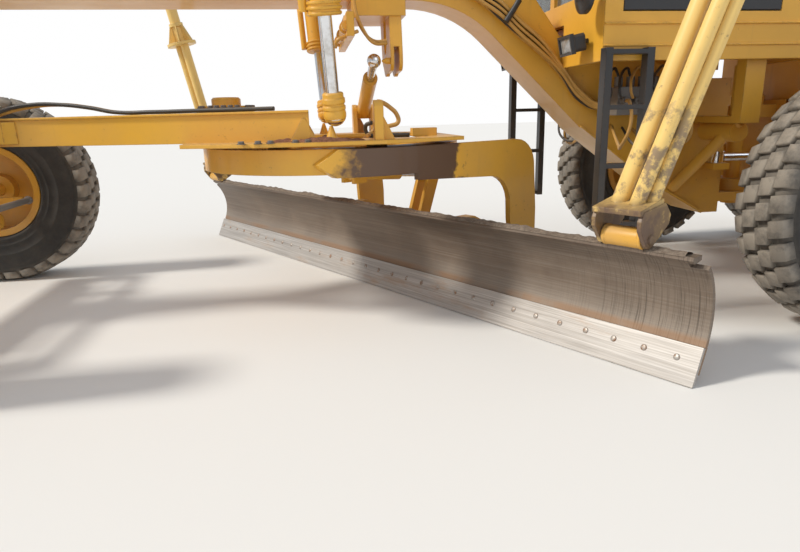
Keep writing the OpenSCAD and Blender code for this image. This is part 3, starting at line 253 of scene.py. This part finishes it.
# Upright scratches near the left end, and the rusty line over the edges
blade_y = lay(tree, "ShaderNodeSeparateXYZ", {"Vector": along_blade}).outputs["Y"]
upright = noise_at(tree, stretched(tree, along_blade, (8, 150, 2.5)), 1.0, 3.0, 0.7)
end_mask = maths(tree, "MULTIPLY", ramp(tree, blade_y, 1.1, 1.7), ramp(tree, upright, 0.50, 0.66, 0.0, 0.75))
brown = tint(tree, end_mask, brown, (0.075, 0.058, 0.045, 1))
seam = maths(tree, "MULTIPLY", ramp(tree, level, 0.205, 0.185), ramp(tree, clouds, 0.38, 0.55))
brown = tint(tree, maths(tree, "MULTIPLY", seam, 0.65), brown, (0.27, 0.145, 0.07, 1))
wire(tree, brown, shader["Base Color"])
wire(tree, ramp(tree, clouds, 0.3, 0.7, 0.42, 0.62), shader["Roughness"])
wire(tree, bumped(tree, lines, 0.15, 0.002), shader["Normal"])
dress(scoured, "moldboard")

# Cutting edges: two lengths of hard steel bolted to the moldboard's lip, bright
# where the ground polishes them.
bright, tree, shader = finish_material("bright_edge", Metallic=0.35)
spot = object_place(tree)
along_blade = stretched(tree, spot, (1, 1, 1), circle_turn)
lines = noise_at(tree, stretched(tree, along_blade, (40, 1.5, 160)), 1.0, 4.0, 0.7)
stain = noise_at(tree, stretched(tree, along_blade, (4, 1.5, 8)), 1.0, 5.0, 0.7)
metal = tint(tree, ramp(tree, lines, 0.35, 0.7), (0.34, 0.31, 0.28, 1), (0.58, 0.55, 0.52, 1))
metal = tint(tree, ramp(tree, stain, 0.56, 0.72, 0, 0.6), metal, (0.40, 0.24, 0.13, 1))
wire(tree, metal, shader["Base Color"])
wire(tree, ramp(tree, stain, 0.3, 0.7, 0.28, 0.5), shader["Roughness"])
wire(tree, bumped(tree, lines, 0.12, 0.002), shader["Normal"])
dress(bright, "cutting_edge")

# Cylinder rods: ground and chromed steel bars, with the faint film of dust that
# the wiper seals leave.
chrome, tree, shader = finish_material("chromed_rod", Metallic=1.0)
spot = object_place(tree)
film = noise_at(tree, spot, 18, 5.0)
filmed = tint(tree, ramp(tree, film, 0.45, 0.75), (0.80, 0.81, 0.83, 1), (0.55, 0.52, 0.48, 1))
wire(tree, filmed, shader["Base Color"])
wire(tree, ramp(tree, film, 0.35, 0.75, 0.10, 0.32), shader["Roughness"])
dress(chrome, "lift_rod_left", "lift_rod_right", "shift_rod", "tip_rod", "steering_rod",
      "hinge_rod_left", "hinge_rod_right")

# Tyres: moulded black rubber, greyed by gravel dust on the tread and darker on
# the sidewalls.
rubber, tree, shader = finish_material("gravel_tyre")
spot = object_place(tree)
cake = noise_at(tree, spot, 9, 6.0, 0.7)
grit = noise_at(tree, spot, 90, 4.0, 0.7)
tone = tint(tree, ramp(tree, cake, 0.38, 0.66), (0.022, 0.021, 0.020, 1), (0.055, 0.050, 0.045, 1))
from_axle = lay(tree, "ShaderNodeAttribute", attribute_name="tread").outputs["Fac"]
caked = maths(tree, "MULTIPLY", from_axle, ramp(tree, cake, 0.30, 0.55, 0.35, 1.0))
tone = tint(tree, caked, tone, (0.30, 0.262, 0.215, 1))
wire(tree, tone, shader["Base Color"])
wire(tree, ramp(tree, cake, 0.3, 0.7, 0.62, 0.9), shader["Roughness"])
wire(tree, bumped(tree, grit, 0.3, 0.003), shader["Normal"])
dress(rubber, *[n for n in node_objects if n.startswith("tyre_")])


def new_piece(name, mesh, body, material):
    mesh.materials.append(material)
    obj = bpy.data.objects.new(name, mesh)
    bpy.context.scene.collection.objects.link(obj)
    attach(obj, body)
    return obj


def smooth(obj, width=0.0, segments=2):
    for face in obj.data.polygons:
        face.use_smooth = True
    if width:
        bevel = obj.modifiers.new("rounded", "BEVEL")
        bevel.width, bevel.segments, bevel.limit_method = width, segments, "ANGLE"
        bevel.harden_normals = True


# The moulded carcass is turned from this half profile, radius and offset from
# the middle; the ridges are the rim guard and the rings round the sidewall.
carcass_half = [(0.306, 0.1265), (0.338, 0.1285), (0.347, 0.148), (0.352, 0.158), (0.360, 0.164),
                (0.372, 0.1645), (0.376, 0.161), (0.402, 0.1655), (0.405, 0.1685), (0.412, 0.1685),
                (0.415, 0.1665), (0.470, 0.1735), (0.473, 0.1762), (0.481, 0.1764), (0.484, 0.1742),
                (0.535, 0.1755), (0.575, 0.1710), (0.579, 0.1722), (0.588, 0.1700), (0.591, 0.1675),
                (0.618, 0.1590), (0.640, 0.1430), (0.652, 0.1180), (0.656, 0.0700), (0.657, 0.0)]
tread_pitches, tread_columns = 34, [-0.132, -0.044, 0.044, 0.132]
block_across, block_round, tread_top = 0.080, 0.088, 0.6825


def tyre_mesh(name, centre):
    mesh = bpy.data.meshes.new(name)
    shape = bmesh.new()
    tread = shape.verts.layers.float.new("tread")
    profile = carcass_half + [(r, -v) for r, v in carcass_half[-2::-1]]
    turns, rings = 96, []
    for i in range(turns):
        a = math.tau * i / turns
        rings.append([])
        for r, v in profile:
            vert = shape.verts.new((centre[0] + r * math.cos(a), centre[1] + v, centre[2] + r * math.sin(a)))
            vert[tread] = min(1.0, max(0.0, (r - 0.585) / 0.05)) * 0.55
            rings[-1].append(vert)
    for i in range(turns):
        here, there = rings[i], rings[(i + 1) % turns]
        for j in range(len(profile)):
            k = (j + 1) % len(profile)
            shape.faces.new((here[j], there[j], there[k], here[k]))
    for i in range(tread_pitches):
        for c, middle in enumerate(tread_columns):
            turn = math.tau * (i + 0.38 * c) / tread_pitches
            outer = abs(middle) > 0.1
            grid = []
            for level, grow in ((0.640, 0.006), (tread_top - 0.004, 0.0), (tread_top, -0.005)):
                ring = []
                for su, sv in ((-1, -1), (1, -1), (1, 1), (-1, 1)):
                    across = middle + sv * (block_across / 2 + grow)
                    lean = 0.18 * (across - middle)
                    u = su * (block_round / 2 + grow) + lean
                    drop = 0.0
                    if outer and sv * middle > 0:
                        across = math.copysign(0.172 - (level - 0.640) * 0.18, middle)
                        drop = 0.022 if level > 0.65 else 0.030
                    angle = turn + u / tread_top
                    radius = level - drop
                    vert = shape.verts.new((centre[0] + radius * math.cos(angle), centre[1] + across,
                                            centre[2] + radius * math.sin(angle)))
                    vert[tread] = 1.0 if level > 0.65 else 0.4
                    ring.append(vert)
                grid.append(ring)
            for low, high in zip(grid, grid[1:]):
                for k in range(4):
                    shape.faces.new((low[k], low[(k + 1) % 4], high[(k + 1) % 4], high[k]))
            shape.faces.new(grid[-1])
            shape.faces.new(grid[0][::-1])
    bmesh.ops.recalc_face_normals(shape, faces=shape.faces)
    shape.to_mesh(mesh)
    shape.free()
    return mesh


for node in [n for n in node_objects if n.startswith("tyre_")]:
    low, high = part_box(node)
    middle = [(a + b) / 2 for a, b in zip(low, high)]
    body = "wheel_" + node[len("tyre_"):]
    tyre = new_piece("tread_" + node, tyre_mesh("tread_" + node, middle), body, rubber)
    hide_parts(node)
    smooth(tyre)

# Windows: clear tempered glass set in the cab's openings, with a faint film of
# dust.
glass, tree, shader = finish_material("window_glass", Transmission_Weight=0.9, IOR=1.45, Roughness=0.03)
spot = object_place(tree)
film = noise_at(tree, spot, 3, 5.0)
filmed = tint(tree, ramp(tree, film, 0.4, 0.7), (0.78, 0.84, 0.85, 1), (0.62, 0.62, 0.58, 1))
wire(tree, filmed, shader["Base Color"])
dress(glass, "cab_glass")

# Hydraulic hoses: wire-braided rubber and painted steel pipe. A bundle runs down
# the arch under a clamped sleeve, others feed the saddle, the circle and the
# valves. Each is given by the middle of its run, in mm from the machine's line.
hose_black = painted("hose_rubber", (0.025, 0.024, 0.024, 1), 0.6, 0.0)
pipe_paint = painted("pipe_paint", (0.60, 0.33, 0.07, 1), 0.7, 0.6)
line_y = 0.450


def on_machine(point):
    return Vector((point[0] / 1000, point[1] / 1000 + line_y, point[2] / 1000))


def hose(name, points, radius, body, material):
    path = bpy.data.curves.new(name, "CURVE")
    path.dimensions = "3D"
    path.bevel_depth, path.bevel_resolution, path.resolution_u = radius / 1000, 3, 8
    path.use_fill_caps = True
    run = path.splines.new("BEZIER")
    run.bezier_points.add(len(points) - 1)
    for knot, point in zip(run.bezier_points, points):
        knot.co = on_machine(point)
        knot.handle_left_type = knot.handle_right_type = "AUTO"
    return new_piece(name, path, body, material)


for i in range(9):
    side, lift = 163 + 20 * (i % 3), 34 * (i // 3) - 20
    wave = 7 * math.sin(i * 2.1)
    hose(f"arch_hose_{i}", [
        (430 - 20 * i, side, 1915 + lift), (213, side, 1800 + lift + wave),
        (93, side + 4, 1712 + lift - wave), (-31, side, 1612 + lift),
        (-156, side + 5, 1520 + lift + wave), (-290, side - 4, 1392 + lift * 0.5),
        (-430, side + 2, 1225 + lift * 0.5 - wave), (-545, side + 30, 1170 + lift * 0.3),
        (-575, side + 60, 1190 + lift * 0.3)], 9 if i % 2 else 11, "front",
        pipe_paint if i % 3 != 1 else hose_black)
hose("arch_sleeve", [(-6, 236, 1772), (30, 236, 1716), (72, 236, 1656)], 17, "front", hose_black)
for i, (y, z) in enumerate(((262, 0), (285, -14))):
    hose(f"saddle_hose_{i}", [(948, y, 1795 + z), (936, y + 6, 1700), (900, y, 1610),
                              (845, y - 14, 1560 + z), (765, 228, 1560 + z)], 9, "front", pipe_paint)
hose("saddle_pipe", [(1060, 300, 1520), (1048, 330, 1552), (1005, 335, 1572), (960, 330, 1590),
                     (934, 318, 1600)], 10, "front", pipe_paint)
hose("circle_hose_long", [(880, 640, 1160), (872, 560, 1215), (835, 480, 1222), (790, 462, 1196),
                          (752, 465, 1155), (748, 470, 1116), (785, 472, 1100),
                          (850, 472, 1092), (905, 520, 1062),
                          (930, 590, 1052)], 12, "drawbar", pipe_paint)
hose("circle_hose_short", [(905, 600, 1120), (935, 560, 1100), (920, 545, 1058), (870, 540, 1052),
                           (780, 540, 1051), (700, 560, 1050)], 11, "drawbar", hose_black)
for i in range(2):
    hose(f"beam_hose_{i}", [
        (3010, 40 + 26 * i, 1182), (2880, 84 + 24 * i, 1222 + 12 * i), (2720, 120 + 24 * i, 1250 + 8 * i),
        (2560, 160 + 22 * i, 1254), (2400, 212 + 22 * i, 1234), (2250, 268 + 20 * i, 1206),
        (2050, 342 + 20 * i, 1202), (1800, 434 + 20 * i, 1202), (1560, 523 + 20 * i, 1202),
        (1400, 582 + 20 * i, 1202)], 11, "drawbar", hose_black if i else pipe_paint)
for s in (1, -1):
    for i in range(6):
        x = -970 + i * 75
        sway = 26 * math.sin(3.7 * i + s)
        hose(f"valve_hose_{s + 1}_{i}", [
            (x, s * 436, 1200), (x + sway, s * 500, 1195), (x + 2 * sway, s * (545 + sway), 1120 - 9 * i),
            (x + 2.4 * sway, s * (500 - sway), 1010 - 12 * i), (x + sway - 40, s * 330, 950),
            (x - 60, s * 160, 985 + 14 * i)], 10 if i % 2 else 8, "front",
            pipe_paint if i % 2 else hose_black)
        hose(f"valve_riser_{s + 1}_{i}", [
            (x, s * 330, 1335), (x + 12, s * 332, 1360), (x + 40 + sway, s * (360 + sway), 1384),
            (x + 110, s * 420, 1372 - 8 * i), (x + 150 - sway, s * 500, 1300 - 14 * i),
            (x + 130, s * 470, 1215)], 8, "front", hose_black if i % 3 else pipe_paint)

# Lift rod ends: a cast cap, grooved where its halves are clamped round the ball.
cap_line = [(0.012, -0.0563), (0.034, -0.0465), (0.0500, -0.0285), (0.0562, -0.0125), (0.0575, 0.0),
            (0.0562, 0.0125), (0.0535, 0.022), (0.0575, 0.025), (0.0575, 0.040), (0.0525, 0.043),
            (0.0525, 0.052), (0.0575, 0.055), (0.0575, 0.076), (0.0520, 0.080), (0.0520, 0.098),
            (0.0480, 0.104), (0.0335, 0.106)]


def ring_stack(shape, line, sides, put):
    """Close a line of (radius, height) into a solid of rings; put places each point."""
    rings = []
    for radius, height in line:
        angles = [math.tau * k / sides for k in range(sides)]
        rings.append([shape.verts.new(put(Vector((radius * math.cos(a), radius * math.sin(a), height))))
                      for a in angles])
    for here, there in zip(rings, rings[1:]):
        for k in range(sides):
            after = (k + 1) % sides
            shape.faces.new((here[k], here[after], there[after], there[k]))
    shape.faces.new(rings[0][::-1])
    shape.faces.new(rings[-1])


round_sides = 48


def turned(name, line, low, towards):
    mesh = bpy.data.meshes.new(name)
    shape = bmesh.new()
    turn = (towards - low).normalized().to_track_quat("Z", "Y").to_matrix()
    ring_stack(shape, line, round_sides, lambda point: low + turn @ point)
    shape.to_mesh(mesh)
    shape.free()
    return mesh


for s, side in ((1, "left"), (-1, "right")):
    low, high = on_machine((1100, s * 720, 1165)), on_machine((1155, s * 870, 2080))
    cap = new_piece("rod_cap_" + side, turned("rod_cap_" + side, cap_line, low, high), "lift_rod_" + side,
                    frame_paint)
    smooth(cap, 0.0012)
    # Gland nut and clamp bands of the barrel above it
    for k, (t, r) in enumerate(((0.452, 0.082), (0.475, 0.084), (0.498, 0.082), (1.02, 0.070))):
        band = [(r - 0.006, t), (r, t + 0.003), (r, t + 0.013), (r - 0.006, t + 0.016)]
        ring = new_piece(f"barrel_band_{side}_{k}", turned("band", band, low, high), "lift_barrel_" + side,
                         frame_paint)
        smooth(ring, 0.001)

# Circle frame: the same yellow, with a painted shadow that darkens a stretch of its left arm.
# Its masks are measured along and across the turned circle.
circle_paint = painted("circle_paint", (0.78, 0.415, 0.045, 1), 0.45, 0.5, Coat_Weight=0.15)
tree = circle_paint.node_tree
spot = stretched(tree, object_place(tree), (1, 1, 1), circle_turn)
split = lay(tree, "ShaderNodeSeparateXYZ", {"Vector": spot}).outputs
wobble = maths(tree, "MULTIPLY", maths(tree, "SUBTRACT", noise_at(tree, spot, 7, 5.0), 0.5), 0.5)
along_arm = maths(tree, "ADD", maths(tree, "SUBTRACT", split["X"], 1.1658), wobble)
# Painted shade: this mask marks the stretch of the left arm that is darkened as if a shadow fell on it.
arm_painted_shade = maths(tree, "MULTIPLY", ramp(tree, along_arm, -0.34, -0.30), ramp(tree, along_arm, 0.46, 0.36))
arm_painted_shade = maths(tree, "MULTIPLY", arm_painted_shade, ramp(tree, maths(tree, "ADD", split["Y"], 0.1777), 0.50, 0.55))
shader = tree.nodes["Principled BSDF"].inputs
old_colour = shader["Base Color"].links[0].from_socket
# The painted shadow's dark colour is mixed into the arm's paint here.
arm_with_painted_shade = tint(tree, maths(tree, "MULTIPLY", arm_painted_shade, 0.93), old_colour, (0.075, 0.040, 0.034, 1))
wire(tree, arm_with_painted_shade, shader["Base Color"])
dress(circle_paint, "circle_frame")

# Mast feet: the brackets have lost most of their paint to brown, and the middle
# tube is scuffed grey low down.
tree = mast_paint.node_tree
spot = object_place(tree)
split = lay(tree, "ShaderNodeSeparateXYZ", {"Vector": spot}).outputs
patchy = noise_at(tree, spot, 5.5, 6.0, 0.7)
foot = maths(tree, "MULTIPLY", ramp(tree, split["Z"], 0.79, 0.74), ramp(tree, patchy, 0.36, 0.48))
scuff = maths(tree, "MULTIPLY", ramp(tree, split["Z"], 1.35, 1.05), ramp(tree, patchy, 0.53, 0.60))
shader = tree.nodes["Principled BSDF"].inputs
old_colour = shader["Base Color"].links[0].from_socket
old_colour = tint(tree, maths(tree, "MULTIPLY", scuff, 0.8), old_colour, (0.17, 0.12, 0.10, 1))
browned = tint(tree, maths(tree, "MULTIPLY", foot, 0.88), old_colour, (0.13, 0.075, 0.05, 1))
wire(tree, browned, shader["Base Color"])

# Mast bushings: short thick tubes welded along the moldboard's top bar, in
# chipped yellow. Places on the turned circle are in mm from its middle.
circle_middle = Vector((1.090, line_y, 0))
forward_on_circle = Vector((math.cos(-circle_turn), math.sin(-circle_turn), 0))
left_on_circle = Vector((-forward_on_circle.y, forward_on_circle.x, 0))


def on_circle(x, y, z):
    level_place = circle_middle + forward_on_circle * (x / 1000) + left_on_circle * (y / 1000)
    return level_place + Vector((0, 0, z / 1000))


for side, y in (("left", 1805), ("right", -2590)):
    sleeve_line = [(0.0225, 0.0), (0.044, 0.0), (0.0475, 0.003), (0.0475, 0.016), (0.0455, 0.019),
                   (0.0455, 0.171), (0.0475, 0.174), (0.0475, 0.187), (0.044, 0.190), (0.0225, 0.190)]
    sleeve = new_piece("mast_bushing_" + side, turned("sleeve", sleeve_line, on_circle(-327, y - 95, 612),
                       on_circle(-327, y + 95, 612)), "moldboard", frame_paint)
    smooth(sleeve, 0.001)

# Plough bolts: domed heads in a row along the two cutting edges, each in its
# rusty countersink.
bolt_steel, tree, shader = finish_material("plough_bolt", Metallic=0.5)
spot = object_place(tree)
flake = noise_at(tree, spot, 60, 5.0)
flaked = tint(tree, ramp(tree, flake, 0.4, 0.65), (0.42, 0.40, 0.37, 1), (0.28, 0.15, 0.08, 1))
wire(tree, flaked, shader["Base Color"])
wire(tree, ramp(tree, flake, 0.3, 0.7, 0.35, 0.7), shader["Roughness"])
bolt_mesh = bpy.data.meshes.new("edge_bolts")
shape = bmesh.new()
face_out = (forward_on_circle * 0.91 + Vector((0, 0, 0.4147))).normalized()
turn = face_out.to_track_quat("Z", "Y").to_matrix()
dome_line = [(0.015, -0.001), (0.015, 0.001), (0.0125, 0.003), (0.007, 0.0042)]
first_bolt_y, last_bolt_y, bolt_pitch = -2660, 2140, 152.4
bolt_x, bolt_z = -370.6, 104
y = first_bolt_y
while y < last_bolt_y:
    centre = on_circle(bolt_x, y, bolt_z)
    ring_stack(shape, dome_line, 18, lambda point: centre + turn @ point)
    y += bolt_pitch
shape.to_mesh(bolt_mesh)
shape.free()
smooth(new_piece("edge_bolts", bolt_mesh, "moldboard", bolt_steel))

# Soil left on the machine: a crumbly ridge along the moldboard's top bar, and
# rust-red earth on the yoke plate round the left lift rod.
def loose_soil(name, crumb_scale, dark, pale):
    material, tree, shader = finish_material(name, Roughness=0.95)
    crumb = noise_at(tree, object_place(tree), crumb_scale, 7.0, 0.75)
    wire(tree, tint(tree, ramp(tree, crumb, 0.35, 0.7), dark, pale), shader["Base Color"])
    wire(tree, bumped(tree, crumb, 0.8, 0.01), shader["Normal"])
    return material


soil = loose_soil("dry_soil", 55, (0.13, 0.095, 0.070, 1), (0.31, 0.25, 0.195, 1))
red_soil = loose_soil("rusty_soil", 60, (0.10, 0.040, 0.022, 1), (0.36, 0.16, 0.085, 1))
blade_top_z, plate_top_z = 564, 1034.5


def soil_sheet(name, rows, columns, place, body, material):
    mesh = bpy.data.meshes.new(name)
    points = [place(i / rows, j / columns) for i in range(rows + 1) for j in range(columns + 1)]
    faces = []
    for i in range(rows):
        for j in range(columns):
            a = i * (columns + 1) + j
            faces.append((a, a + columns + 1, a + columns + 2, a + 1))
    mesh.from_pydata(points, [], faces)
    smooth(new_piece(name, mesh, body, material))


def top_ridge(u, v):
    y, x = -2600 + u * 4680, -393 + v * 78
    rolling = noise.noise(Vector((y / 260, 3.1, 0)))
    crumbs = noise.noise(Vector((y / 40, x / 40, 1)))
    swell = 0.5 + 0.5 * rolling + 0.35 * crumbs
    heap = 26 * max(0.0, swell) * math.sin(math.pi * min(1, max(0, v))) ** 0.7
    return on_circle(x + 3 * noise.noise(Vector((y / 30, v, 5))), y,
                     blade_top_z + heap)


soil_sheet("soil_on_blade", 420, 10, top_ridge, "moldboard", soil)


def plate_heap(cx, cy, wide, deep, high):
    def place(u, v):
        x, y = cx + (u - 0.5) * wide, cy + (v - 0.5) * deep
        edge = max(0.0, 1 - (2 * u - 1) ** 2) * max(0.0, 1 - (2 * v - 1) ** 2)
        lump = 0.75 + 0.6 * noise.noise(Vector((x / 45, y / 45, 2)))
        return on_machine((x, y, plate_top_z + high * edge * max(0.0, lump)))
    return place


for i, heap in enumerate(((1170, 700, 300, 170, 34), (1330, 650, 260, 120, 26), (1020, 690, 150, 130, 18))):
    soil_sheet(f"plate_soil_{i}", 40, 24, plate_heap(*heap), "drawbar", red_soil)

# Wheel nuts: a ring of ten flanged steel nuts, screwed against each rim's disc
# and painted over with it.
nut_line = [(0.017, -0.006), (0.017, 0.004), (0.0135, 0.006), (0.0135, 0.020), (0.011, 0.0225)]
nut_count, nut_circle_r = 10, 0.155
for node in [n for n in node_objects if n.startswith("rim_")]:
    low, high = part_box(node)
    middle = Vector([(a + b) / 2 for a, b in zip(low, high)])
    s = 1 if "left" in node else -1
    out = 0.060 if "front" in node else 0.0
    mesh = bpy.data.meshes.new("nuts_" + node)
    shape = bmesh.new()
    for i in range(nut_count):
        a = math.tau * i / nut_count
        centre = Vector((middle.x + nut_circle_r * math.cos(a), line_y + s * (1.153 + out),
                         middle.z + nut_circle_r * math.sin(a)))
        ring_stack(shape, nut_line, 6, lambda point: centre + Vector((point.x, s * point.z, point.y)))
    bmesh.ops.recalc_face_normals(shape, faces=shape.faces)
    shape.to_mesh(mesh)
    shape.free()
    new_piece("nuts_" + node, mesh, "wheel_" + node[len("rim_"):], rim_paint)

# Lamp lenses: ribbed pressed glass set in each black bezel.
lens_glass, tree, shader = finish_material("lens_glass", Roughness=0.18, IOR=1.45, Coat_Weight=0.6)
spot = object_place(tree)
film = noise_at(tree, spot, 22, 5.0)
filmed = tint(tree, ramp(tree, film, 0.4, 0.7), (0.34, 0.34, 0.33, 1), (0.20, 0.19, 0.17, 1))
wire(tree, filmed, shader["Base Color"])
for i, (x, y, z, tilt) in enumerate(((-210, 520, 1500, 12), (-210, -520, 1500, 12), (4050, 140, 1700, 4),
                                     (4050, -140, 1700, 4))):
    lean = math.radians(tilt)
    centre = on_machine((x, y, z))
    mesh = bpy.data.meshes.new(f"lens_{i}")
    columns, rows = 34, 12
    points, faces = [], []
    for a in range(rows + 1):
        for b in range(columns + 1):
            v, u = a / rows * 2 - 1, b / columns * 2 - 1
            depth = 0.031 + 0.007 * (1 - u * u) * (1 - v * v) + 0.0008 * math.cos(b * math.pi)
            local = Vector((depth, 0.0675 * u, 0.0375 * v))
            points.append(centre + Vector((local.x * math.cos(lean) + local.z * math.sin(lean), local.y,
                                           -local.x * math.sin(lean) + local.z * math.cos(lean))))
    for a in range(rows):
        for b in range(columns):
            k = a * (columns + 1) + b
            faces.append((k, k + 1, k + columns + 2, k + columns + 1))
    mesh.from_pydata(points, [], faces)
    smooth(new_piece(f"lens_{i}", mesh, "front", lens_glass))

# Cab trim: folded ledges round the skirt panels, grab rails beside the doors,
# door handles and the wipers on the two front windows.
def folded_strip(name, line, from_x, to_x, body, material):
    """A strip bent to a (y, z) line, run along x, in mm from the machine's line."""
    mesh = bpy.data.meshes.new(name)
    count = len(line)
    points = [on_machine((x, y, z)) for x in (from_x, to_x) for y, z in line]
    faces = [(i, (i + 1) % count, count + (i + 1) % count, count + i) for i in range(count)]
    faces += [tuple(range(count))[::-1], tuple(range(count, 2 * count))]
    mesh.from_pydata(points, [], faces)
    shape = bmesh.new()
    shape.from_mesh(mesh)
    bmesh.ops.recalc_face_normals(shape, faces=shape.faces)
    shape.to_mesh(mesh)
    shape.free()
    smooth(new_piece(name, mesh, body, material), 0.002)


for s in (1, -1):
    for i, (z, out) in enumerate(((1577, 11), (1470, 9))):
        ledge = [(s * 698, z), (s * (700 + out), z), (s * (700 + out), z + 7), (s * 702, z + 11),
                 (s * 698, z + 11)]
        folded_strip(f"skirt_ledge_{s + 1}_{i}", ledge, -1598, -302, "front", frame_paint)
    hose(f"grab_rail_{s + 1}", [(-352, s * 698, 1830), (-352, s * 752, 1834), (-352, s * 764, 1862),
                                (-352, s * 764, 2540), (-352, s * 752, 2568), (-352, s * 698, 2572)], 14,
         "front", black_paint)
    hose(f"hood_rail_{s + 1}", [(-4040, s * 440, 2170), (-4040, s * 440, 2240), (-3980, s * 440, 2262),
                                (-3050, s * 440, 2300), (-2990, s * 440, 2286), (-2985, s * 440, 2178)], 15,
         "rear", black_paint)
    hose(f"door_pull_{s + 1}", [(-520, s * 699, 1868), (-520, s * 730, 1870), (-520, s * 736, 1890),
                                (-520, s * 736, 2000), (-520, s * 730, 2020), (-520, s * 699, 2022)], 9,
         "door_left" if s > 0 else "door_right", iron)
    hose(f"wiper_{s + 1}", [(-302, s * 330, 3120), (-286, s * 332, 3100), (-284, s * 350, 2800),
                            (-288, s * 372, 2480)], 7, "front", black_paint)

# Bolt heads: steel hexagons on washers, round the circle drive, along the yoke
# plate and on the frame's bolster.
washer_line = [(0.021, -0.001), (0.021, 0.003)]
head_line = [(0.0155, 0.0035), (0.0155, 0.012), (0.0125, 0.0145)]
drive_x, drive_top_z, drive_bolt_r = 1705, 1219, 149
hex_mesh = {"drawbar": [], "front": []}
for a in range(24):
    turn = math.tau * a / 24
    if 1.0 < turn < 2.3 or 3.98 < turn < 5.28 or abs(math.sin(turn)) < 0.5:
        hex_mesh["drawbar"].append(((drive_x + drive_bolt_r * math.cos(turn),
                                     drive_bolt_r * math.sin(turn), drive_top_z), (0, 0, 1)))
for y in (-1, 1):
    for x in (1240, 1300, 1420, 1480, 1560):
        hex_mesh["drawbar"].append(((x, y * 765, 1036), (0, 0, 1)))
    for z in (960, 1080, 1200, 1320, 1440):
        hex_mesh["front"].append(((4020, y * 195, z), (1, 0, 0)))
for body, heads in hex_mesh.items():
    mesh = bpy.data.meshes.new("bolts_" + body)
    shape = bmesh.new()
    for centre, out in heads:
        turn = Vector(out).to_track_quat("Z", "Y").to_matrix()
        for line, sides in ((washer_line, 12), (head_line, 6)):
            ring_stack(shape, line, sides, lambda point: on_machine(centre) + turn @ point)
    bmesh.ops.recalc_face_normals(shape, faces=shape.faces)
    shape.to_mesh(mesh)
    shape.free()
    new_piece("bolts_" + body, mesh, body, iron)

# Studio: a plain pale floor, a broad soft key from the upper left of the view,
# a weaker fill from the right, and an even sky.
floor_mesh = bpy.data.meshes.new("studio_floor")
floor_mesh.from_pydata([(-60, -60, 0), (60, -60, 0), (60, 60, 0), (-60, 60, 0)], [], [(0, 1, 2, 3)])
floor = bpy.data.objects.new("studio_floor", floor_mesh)
bpy.context.scene.collection.objects.link(floor)
pale, tree, shader = finish_material("pale_floor", Roughness=0.9)
shader["Base Color"].default_value = (0.80, 0.79, 0.77, 1)
floor_mesh.materials.append(pale)

world = bpy.data.worlds.new("studio_sky")
bpy.context.scene.world = world
world.use_nodes = True
sky_tree = world.node_tree
sky_tree.nodes.clear()
rays = lay(sky_tree, "ShaderNodeLightPath").outputs
seen = maths(sky_tree, "MAXIMUM", rays["Is Camera Ray"], rays["Is Transmission Ray"])
sky = lay(sky_tree, "ShaderNodeBackground", {"Color": (0.86, 0.90, 0.96, 1), "Strength": 0.62})
seen_sky = lay(sky_tree, "ShaderNodeBackground", {"Color": (1, 1, 1, 1), "Strength": 1.0})
mixed = lay(sky_tree, "ShaderNodeMixShader", {0: seen, 1: sky.outputs[0], 2: seen_sky.outputs[0]})
wire(sky_tree, mixed.outputs[0], lay(sky_tree, "ShaderNodeOutputWorld").inputs["Surface"])


def sun(name, strength, spot, colour, angle):
    data = bpy.data.lights.new(name, "SUN")
    data.energy, data.color, data.angle = strength, colour, math.radians(angle)
    obj = bpy.data.objects.new(name, data)
    obj.location = spot
    obj.rotation_euler = (-Vector(spot)).to_track_quat("-Z", "Y").to_euler()
    bpy.context.scene.collection.objects.link(obj)


sun("key_sun", 2.7, (8, 0.4, 7), (1.0, 0.95, 0.86), 9)
sun("fill_sun", 0.35, (-5, 8, 5), (0.90, 0.94, 1.0), 40)
